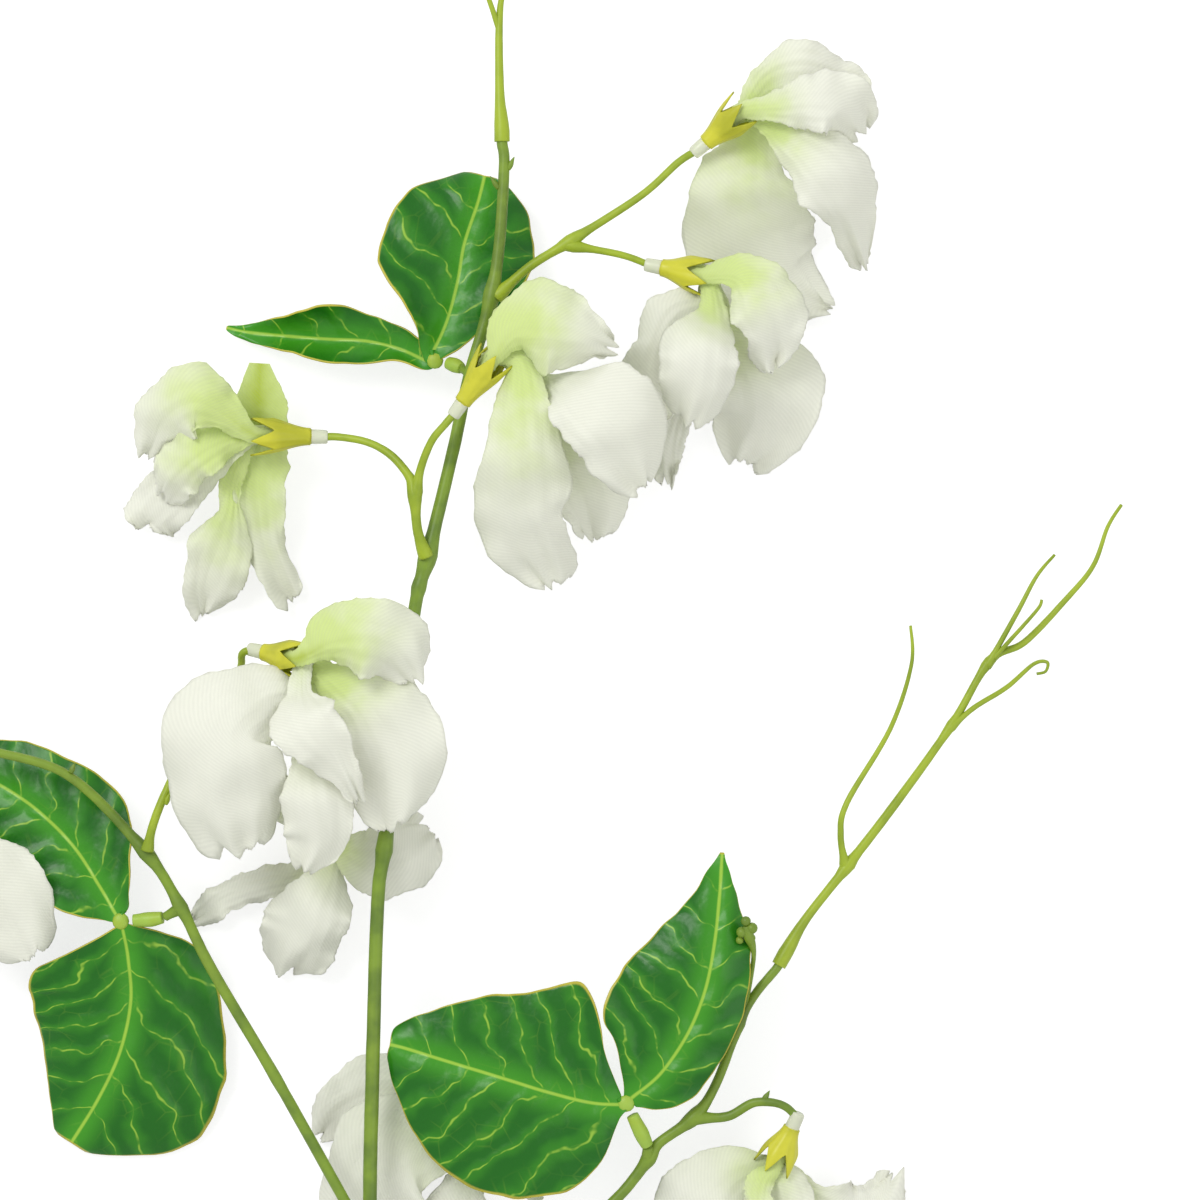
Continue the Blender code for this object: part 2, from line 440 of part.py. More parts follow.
# ---- pieces ------------------------------------------------------------------------------
def calyx(name, base, mouth, roll, colour_slot):
    """A funnel whose mouth is a five-pointed star, filled level with its rim."""
    base, mouth = Vector(base), Vector(mouth)
    axis = mouth - base
    length = axis.length
    columns = 2 * SEPALS
    points = []

    def ring(height, radius, tip_radius):
        for column in range(columns):
            r = radius if column % 2 else tip_radius
            angle = 2 * math.pi * column / columns
            points.append(Vector((r * math.cos(angle), r * math.sin(angle), height)))

    ring(0, CALYX_BASE_RADIUS, CALYX_BASE_RADIUS)
    ring(0.45 * length, 0.6 * CALYX_MOUTH_RADIUS, 0.64 * CALYX_MOUTH_RADIUS)
    ring(0.85 * length, 0.9 * CALYX_MOUTH_RADIUS, CALYX_MOUTH_RADIUS)
    ring(length, CALYX_MOUTH_RADIUS, SEPAL_TIP_RADIUS)
    rings = 4
    faces = [list(reversed(range(columns))), [(rings - 1) * columns + c for c in range(columns)]]
    for k in range(rings - 1):
        for column in range(columns):
            nearer, further = k * columns, (k + 1) * columns
            following = (column + 1) % columns
            faces.append((nearer + column, nearer + following, further + following, further + column))
    made = new_object(name, points, faces, colour_slot)
    made.location = base * MM
    made.rotation_mode = "QUATERNION"
    made.rotation_quaternion = axis.to_track_quat("Z", "Y")
    turn = Vector((math.cos(math.radians(roll)), math.sin(math.radians(roll)), 0))
    made.rotation_quaternion @= Vector((1, 0, 0)).rotation_difference(turn)
    return made


def petal_rows(petal, base, mouth):
    """A petal's rows with its claw in front, and with its edge lifts worked out from the cups."""
    slot, cup_left, cup_right, rows = petal
    rows = list(rows)
    if slot is not None:
        axis = (Vector(mouth) - Vector(base)).normalized()
        up = (Vector((0, 0, 1)) - axis * axis.z).normalized()
        claw = Vector(mouth) + axis * CLAW_START + up * slot
        neck = Vector(mouth) + axis * CLAW_LENGTH + up * slot * CLAW_SPREAD
        rows = [(*claw, CLAW_HALF_WIDTH, CLAW_HALF_WIDTH), (*neck, CLAW_HALF_WIDTH, CLAW_HALF_WIDTH)] + rows
    return [(x, y, z, left, right, cup_left * left, cup_right * right) for x, y, z, left, right in rows]


def make_bloom(name, bloom, petal_slot, calyx_slot):
    """One bloom: its calyx and its petals."""
    base, mouth, roll = bloom["calyx"]
    calyx(name + "_calyx", base, mouth, roll, calyx_slot)
    for petal_name, petal in bloom["petals"].items():
        sheet(name + "_" + petal_name, petal_rows(petal, base, mouth), CLOTH,
              (PETAL_ROWS, PETAL_COLUMNS - 1), petal_slot)


def leaf_rows(rows, hub, step):
    """A leaf's rows with one more in front, inside the hub that carries it."""
    centre = Vector(hub)
    towards = (Vector(rows[0][:3]) - centre).normalized()
    x, y, z = centre + towards * LEAF_START
    return [(x, y, z + step * LEAF_STEP, LEAF_START_WIDTH, LEAF_START_WIDTH, 0, 0)] + list(rows)


def make_leaf_pair(name, pair, leaf_slot):
    """Two leaves fused to a small hub."""
    first, second = (leaf_rows(leaf, pair["hub"], step) for leaf, step in zip(pair["leaves"], (1, -1)))
    grid = (LEAF_ROWS, LEAF_COLUMNS - 1)
    made = sheet(name, first, LEAF_SHEET, grid, leaf_slot)
    hub = pair["hub"]
    half = HUB_HEIGHT / 2
    hub_path = [(hub[0], hub[1], hub[2] - half, HUB_RADIUS), (hub[0], hub[1] + 0.01, hub[2] + half, HUB_RADIUS)]
    add_union(made, tube(name + ".hub", hub_path, STEM_SIDES, leaf_slot, 1), "MANIFOLD")
    add_union(made, sheet(name + ".second", second, LEAF_SHEET, grid, leaf_slot), "MANIFOLD")


def make_stems(stem_slot, twig_slot):
    """The main stem with its stub, and the two branches with theirs."""
    main = tube("main_stem", MAIN_STEM, STEM_SIDES, stem_slot)
    add_union(main, tube("main_stem.stub", UPPER_LEAF_STUB, TWIG_SIDES, stem_slot, 1))
    left_path = to_calyx(seated(LEFT_BRANCH, MAIN_STEM), "bloom_far_left")
    left = tube("left_branch", left_path, STEM_SIDES, stem_slot)
    add_union(left, tube("left_branch.stub", LEFT_LEAF_STUB, TWIG_SIDES, stem_slot, 1))
    right = tube("right_branch", seated(RIGHT_BRANCH, MAIN_STEM), STEM_SIDES, stem_slot)
    add_union(right, tube("right_branch.stub", RIGHT_LEAF_STUB, TWIG_SIDES, stem_slot, 1))
    side_path = to_calyx(RIGHT_SIDE_STALK, "bloom_low_right")
    add_union(right, tube("right_branch.side", side_path, TWIG_SIDES, stem_slot))
    add_union(right, tube("right_branch.bud", BUD_STALK, TWIG_SIDES, stem_slot))
    for name, (carrier, path, bloom, arms) in FLOWER_STALKS.items():
        made = tube(name, to_calyx(seated(path, carrier), bloom), TWIG_SIDES, twig_slot)
        for number, (arm, arm_bloom) in enumerate(arms):
            add_union(made, tube(f"{name}.arm{number}", to_calyx(arm, arm_bloom), TWIG_SIDES, twig_slot))
    for name, (path, arms) in TENDRILS.items():
        made = tube(name, path, TWIG_SIDES, twig_slot)
        for number, arm in enumerate(arms):
            add_union(made, tube(f"{name}.arm{number}", arm, TWIG_SIDES, twig_slot))


def rest_on_origin():
    """Parent every piece to an empty that puts the middle of the spray's box on the origin."""
    origin = bpy.data.objects.new("spray_origin", None)
    bpy.context.scene.collection.objects.link(origin)
    bpy.context.view_layer.update()
    depsgraph = bpy.context.evaluated_depsgraph_get()
    low, high = Vector((math.inf,) * 3), Vector((-math.inf,) * 3)
    for piece in bpy.data.objects:
        if piece.type != "MESH" or "guide" in piece:
            continue
        shape = piece.evaluated_get(depsgraph)
        for vertex in shape.data.vertices:
            place = piece.matrix_world @ vertex.co
            low = Vector(map(min, low, place))
            high = Vector(map(max, high, place))
    for piece in bpy.data.objects:
        if piece.type == "MESH":
            piece.parent = origin
    origin.location = (-(low.x + high.x) / 2, -(low.y + high.y) / 2, -low.z)
    bpy.context.view_layer.update()


def main():
    for old in list(bpy.data.objects):
        bpy.data.objects.remove(old, do_unlink=True)
    petal_slot = material("petal_cloth", (0.79, 0.80, 0.70), 0.85)
    calyx_slot = material("calyx_plastic", (0.48, 0.48, 0.01), 0.45)
    stem_slot = material("stem_plastic", (0.16, 0.28, 0.03), 0.5)
    twig_slot = material("twig_plastic", (0.28, 0.38, 0.02), 0.5)
    leaf_slot = material("leaf_sheet", (0.02, 0.19, 0.01), 0.3)
    peg_slot = material("peg_plastic", (0.30, 0.48, 0.03), 0.5)

    make_stems(stem_slot, twig_slot)
    for name, path in LEAF_PEGS.items():
        tube(name, path, TWIG_SIDES, peg_slot, 3)
    for name, pair in LEAF_PAIRS.items():
        make_leaf_pair(name, pair, leaf_slot)
    for name, bloom in BLOOMS.items():
        make_bloom(name, bloom, petal_slot, calyx_slot)
    rest_on_origin()


main()
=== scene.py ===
"""Artificial sweet pea spray: cloth blooms, moulded stems and calyces, printed leaves.

Lengths in the layout lists are in millimetres, in the layout's own axes: the cut end of the
main stem is at x = 0, y = 0 and the stem runs along +Y. The frame tells where that layout lies.
"""
import math
import random

import bpy
from bpy.props import FloatProperty, FloatVectorProperty, PointerProperty
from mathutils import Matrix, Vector, noise


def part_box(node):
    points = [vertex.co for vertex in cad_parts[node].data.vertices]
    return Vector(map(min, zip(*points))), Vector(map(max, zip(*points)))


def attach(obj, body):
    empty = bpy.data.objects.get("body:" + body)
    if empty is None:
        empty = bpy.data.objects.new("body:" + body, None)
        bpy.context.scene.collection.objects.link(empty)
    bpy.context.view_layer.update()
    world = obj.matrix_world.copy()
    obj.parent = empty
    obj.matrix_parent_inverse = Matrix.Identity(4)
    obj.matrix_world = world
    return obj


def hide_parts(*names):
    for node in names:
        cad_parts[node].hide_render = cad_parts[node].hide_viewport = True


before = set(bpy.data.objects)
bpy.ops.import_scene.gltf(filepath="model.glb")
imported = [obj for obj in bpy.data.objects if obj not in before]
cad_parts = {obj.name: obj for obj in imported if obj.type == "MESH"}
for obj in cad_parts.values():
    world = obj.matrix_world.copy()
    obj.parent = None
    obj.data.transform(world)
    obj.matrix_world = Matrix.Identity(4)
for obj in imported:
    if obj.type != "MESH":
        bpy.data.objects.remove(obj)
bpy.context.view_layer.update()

bl_info = {
    "name": "Sweet pea spray",
    "version": (1, 0, 0),
    "blender": (4, 5, 0),
    "location": "View3D > Sidebar > Sweet pea",
    "description": "Builds an artificial sweet pea spray of cloth, moulded plastic and printed leaves",
    "category": "Object",
}

MM = 0.001

# ---- how fine the pieces are, and small sizes, mm ------------------------------------------
STEM_SIDES = 18
TUBE_STEPS = 9              # rings between two rows of a path
PETAL_ROWS, PETAL_COLUMNS = 66, 44
LEAF_ROWS, LEAF_COLUMNS = 72, 44
PETAL_FULLNESS = 0.26       # how much fuller the pressed cloth is than its solid
CLOTH = 0.22                # thickness of the cloth that shows
LEAF_SHEET = 0.35
STALK_END_RUN = 2.2
SEAT_GAP = 0.05
ROUND_FROM = 0.8
ROUND_LEFT = 0.5
CLAW_HALF_WIDTH = 1.5
CLAW_START = -1.4           # the cloth starts inside the calyx
CLAW_LENGTH = 2.8
CLAW_SPREAD = 1.5
HUB_RADIUS, HUB_HEIGHT = 1.7, 1.5
LEAF_START, LEAF_START_WIDTH, LEAF_STEP = 0.7, 1.3, 0.36
CALYX_BASE_RADIUS, CALYX_MOUTH_RADIUS = 1.55, 3.5
SEPALS, SEPAL_LENGTH, CALYX_WALL = 5, 4.6, 0.35
SLEEVE_LENGTH, SLEEVE_RADIUS = 3.4, 1.35
CLAW_ROWS = 6               # rows of a petal near its claw that aren't frayed
CLAW_GATHER = 0.6           # how much closer the claws are inside the calyx than their slots
VEIN_SPACING, VEIN_SLOPE = 7.4, 0.75
MAIN_STEM_TOP = 21.3        # height of the main stem's skin where it lies highest
CAMERA_AIM = (45, 180, 0)   # the point that the camera looks down on
CAMERA_HEIGHT = 1.867       # m; with the long lens, 240 mm of the floor fill the picture

LAYOUT = {}                 # holds the shift from the layout to the row frame once it is known
SHARED = {}                 # materials by name, so that like pieces share one

# ---- stems: (x, y, z, radius) ------------------------------------------------------------
MAIN_STEM = [(0, 0, 1.7, 1.5), (0, 18, 8.5, 1.5), (-0.3, 38, 15.6, 1.45), (-0.6, 60, 18.4, 1.4),
             (0, 88, 19.2, 1.4), (1, 120, 19.6, 1.35), (2.6, 133, 20, 1.35), (8, 176, 20, 1.3),
             (11, 189, 19.8, 1.3), (16, 210, 18.6, 1.25), (19, 224, 18, 1.2), (23, 238, 17.4, 1.2),
             (25, 250, 17, 1.15), (26, 266, 16.6, 1.1), (25.6, 270.5, 16.5, 1.1)]

LEFT_BRANCH = [(0, 51, 17.6, 1.1), (-5, 60, 18.2, 1.1), (-19, 85, 18.4, 1.1), (-32, 107, 18, 1.1),
               (-38, 119, 17.6, 1.05), (-45, 130, 17.4, 1.05), (-60, 145, 17.4, 0.95),
               (-75, 150, 17.6, 0.9), (-81, 151.8, 17.8, 0.9), (-85.6, 151.4, 18, 0.9)]
LEFT_LEAF_STUB = [(-38, 119, 17.6, 0.8), (-41.2, 117.2, 15.8, 0.9)]

RIGHT_BRANCH = [(0.6, 20, 9.4, 1.15), (12, 31, 12, 1.15), (30, 46, 14.2, 1.15), (47, 60, 15.4, 1.1),
                (53.8, 68, 15.8, 1.1), (56.6, 72.2, 16, 1.05), (63.6, 77.4, 16, 1.05),
                (68, 84, 16, 0.95), (74, 99, 16.4, 0.9), (80, 107, 16.8, 0.9)]
RIGHT_LEAF_STUB = [(54.6, 69, 15.8, 0.8), (54.4, 71.6, 17.6, 0.9)]
RIGHT_SIDE_STALK = [(63.6, 77.4, 16, 1), (70.2, 77.6, 16.6, 0.95), (75.6, 80.4, 17.4, 0.9),
                    (81, 80, 18.2, 0.8)]
BUD_STALK = [(73, 96, 16.3, 0.6), (74.6, 104, 17.6, 0.55), (75.4, 110, 20.6, 0.5),
             (74.4, 113.6, 23.2, 1.1), (73.8, 115.6, 24, 0.7)]

UPPER_STALK = [(24.4, 240, 17.4, 0.9), (31, 246, 18, 0.9), (39, 251, 18.2, 0.85), (53, 260, 18.4, 0.75),
               (60.4, 266.6, 18.2, 0.75)]
UPPER_STALK_ARM = [(38, 250.4, 18.2, 0.75), (49, 248.4, 18.8, 0.7)]

MIDDLE_STALK = [(10.6, 188.5, 21.4, 0.95), (8.9, 194, 22.6, 0.95), (8.2, 202, 22.6, 0.9),
                (6.6, 205.4, 21.6, 0.85), (3.2, 209, 20, 0.8), (-1.2, 211.3, 18, 0.75),
                (-6.6, 212.3, 16.6, 0.75)]
MIDDLE_STALK_ARM = [(8.4, 200, 22.6, 0.8), (9.6, 206, 23.8, 0.8), (11.8, 211.4, 25, 0.75),
                    (14.4, 214.6, 25.6, 0.75)]

LOWER_STALK = [(-44.6, 130.4, 19, 0.9), (-43.6, 135, 20, 0.85), (-41.6, 140.4, 20, 0.85),
               (-38, 148, 18.6, 0.8), (-31, 160, 17.6, 0.8), (-26.4, 166, 19.6, 0.75),
               (-25.6, 169.4, 24, 0.75)]
LOWER_STALK_ARM = [(-39.4, 145, 18.9, 0.8), (-31, 143, 14, 0.75), (-22.6, 139.2, 10, 0.75)]

BOTTOM_STALK = [(37, 52, 14.6, 0.8), (34.6, 56, 11.6, 0.8), (33.4, 59.2, 9, 0.75)]

TOP_TENDRIL = [(25.6, 270.9, 16.5, 1.55), (25.5, 274, 16.4, 1.5), (25.1, 281, 16, 0.95),
               (25, 294, 14.6, 0.75), (25.8, 301, 13, 0.55), (28.6, 308, 10.6, 0.45),
               (29.4, 313, 8.6, 0.35)]
TOP_TENDRIL_ARM = [(25, 293, 14.7, 0.6), (22.6, 300, 15, 0.5), (19.6, 305, 15.6, 0.4),
                   (15.8, 307.6, 15, 0.35)]

RIGHT_TENDRIL = [(80.4, 107.6, 16.8, 1.45), (82, 110.4, 16.8, 1.5), (86, 117, 16.4, 0.95),
                 (94.4, 127.6, 15, 0.95), (104, 140, 13, 0.9), (115, 155.2, 9.6, 0.8),
                 (122.6, 167.8, 7.6, 0.75), (129.6, 171.6, 7, 0.7), (137.8, 180, 6, 0.6),
                 (143.4, 186.8, 4.6, 0.5), (146.4, 194.6, 2.8, 0.4), (149.2, 199, 1.4, 0.35)]
RIGHT_TENDRIL_ARMS = [
    [(93.8, 126.8, 15, 0.75), (92.7, 133.4, 17, 0.65), (94, 140, 17.6, 0.6), (102.6, 154.4, 14, 0.5),
     (107, 167, 8, 0.4), (107, 174.8, 4, 0.3)],
    [(113.6, 153.4, 10, 0.6), (119.2, 158.4, 9.4, 0.55), (126, 162.6, 8, 0.5), (131.4, 167.2, 6.4, 0.4),
     (134.1, 167.6, 6.8, 0.35), (133.8, 165.8, 7.6, 0.3), (132, 165.3, 8, 0.3)],
    [(122, 166.6, 7.8, 0.6), (128.2, 177.8, 8.8, 0.5), (132, 184.8, 8.2, 0.4), (135.6, 189, 7, 0.3)],
    [(123.4, 168.4, 8, 0.45), (128.6, 174.2, 9.8, 0.4), (132.2, 178.4, 11, 0.35),
     (132.8, 180, 11.6, 0.3)],
]

# name -> (the stem that carries it, its path, its bloom, its arms with their blooms)
FLOWER_STALKS = {
    "upper_flower_stalk": (MAIN_STEM, UPPER_STALK, "bloom_top", [(UPPER_STALK_ARM, "bloom_upper")]),
    "middle_flower_stalk": (MAIN_STEM, MIDDLE_STALK, "bloom_left", [(MIDDLE_STALK_ARM, "bloom_centre")]),
    "lower_flower_stalk": (LEFT_BRANCH, LOWER_STALK, "bloom_large", [(LOWER_STALK_ARM, "bloom_under")]),
    "bottom_flower_stalk": (RIGHT_BRANCH, BOTTOM_STALK, "bloom_bottom", []),
}
TENDRILS = {
    "top_tendril": (TOP_TENDRIL, [TOP_TENDRIL_ARM]),
    "right_tendril": (RIGHT_TENDRIL, RIGHT_TENDRIL_ARMS),
}

# ---- leaf pegs: the pale plugs between a stub and a leaf pair, (x, y, z, radius) -----------
LEAF_PEGS = {
    "leaf_peg_upper": [(17.5, 226, 14.4, 1.1), (16.2, 226.6, 13.3, 1.5), (14.75, 227.1, 12.4, 1.2)],
    "leaf_peg_left": [(-41.8, 117, 15.5, 1.2), (-44.4, 116.6, 14.8, 1.5), (-47.6, 116.4, 14.2, 1.2)],
    "leaf_peg_right": [(54.3, 72, 17.9, 1.2), (53.2, 74.4, 19, 1.5), (51.4, 78, 20, 1.2)],
}
UPPER_LEAF_STUB = [(19.2, 224.6, 17.8, 0.8), (17.8, 225.8, 15, 0.85)]

# ---- leaves: each starts at its pair's hub; (x, y, z, left, right, lift_left, lift_right) --
# left and right are the half widths either side of the midrib; the lifts are how far each edge
# stands above the midrib.
LEAF_PAIRS = {
    "leaf_pair_upper": {
        "hub": (12.2, 227.6, 12),
        "leaves": [
            [(11.6, 228.8, 12, 2.2, 2.2, 0, 0), (14.4, 235, 11, 8, 6.6, 2, 1.4),
             (16.6, 243, 9.8, 15.6, 12, 2.6, 0.4), (18, 251, 8.4, 16, 14.6, 0.5, -2),
             (20.6, 259, 7, 12.4, 10.6, -2, -2.4), (22, 264.6, 5.6, 5.6, 4.6, -2, -2)],
            [(10.4, 227.6, 11.4, 1.8, 2.4, 0, 0), (5, 230, 8.4, 2.4, 4.2, 2, 0.4),
             (-1.6, 231.6, 7, 5, 5.2, 3, 2),
             (-9, 232, 6.2, 4.6, 7, 3, 3.6), (-17, 232.6, 5, 3.2, 4.4, 2.2, 3),
             (-25, 233.4, 3.6, 2, 1.6, 0.6, 0.6),
             (-29.6, 234.4, 3, 0.9, 0.9, 0, 0)],
        ],
    },
    "leaf_pair_left": {
        "hub": (-50.2, 116.2, 13.2),
        "leaves": [
            [(-51.2, 117.6, 13, 2.6, 3, 0, 0), (-54.4, 123, 12, 9, 7, 1, 0.6),
             (-60, 131.4, 11, 13.4, 13.4, 0.4, 0),
             (-68, 139, 10, 12.6, 12, -1.6, -1), (-77, 144.4, 8, 8.6, 8.6, -2.4, -2.4),
             (-85, 147, 6, 2.6, 2.6, -1, -1)],
            [(-49.8, 114.6, 13, 3, 3, 0, 0), (-48.8, 108.6, 11, 14.6, 18.6, -2.4, -1),
             (-48.4, 100, 9.6, 18, 20.4, -3.4, -3),
             (-50.6, 90, 8, 21.6, 17.4, -5, -3.6), (-55, 80.6, 5.6, 20, 12, -3.6, -3),
             (-60.6, 71.6, 3, 6.6, 6, -1.6, -1.6)],
        ],
    },
    "leaf_pair_right": {
        "hub": (50.2, 80.4, 20.6),
        "leaves": [
            [(48.6, 80.2, 20.6, 3.6, 3, 0, 0), (43, 80.6, 21, 17, 14, -2, 1),
             (35, 82.6, 21.6, 21.8, 22.4, -2.4, 0.6),
             (26, 85.4, 22, 22.6, 18, -3, 0), (16, 88.4, 21.4, 18.4, 13.4, -3, -1),
             (6.8, 91.2, 20, 9, 7, -2, -1),
             (3.4, 92, 19.4, 4, 4, -1, -1)],
            [(51.6, 81.8, 20.8, 3, 3, 0, 0), (57, 86.4, 21.4, 14.6, 7.8, 2.4, -1),
             (62.4, 94.4, 22.4, 17.6, 8.2, 1, -2),
             (65.8, 103, 23, 16.6, 8.4, -1, -2.4), (67.6, 112, 22.6, 12, 7, -1.4, -2),
             (68.6, 121, 21, 5.8, 3.6, -1, -1),
             (69.2, 130, 19, 0.8, 0.8, 0, 0)],
        ],
    },
}

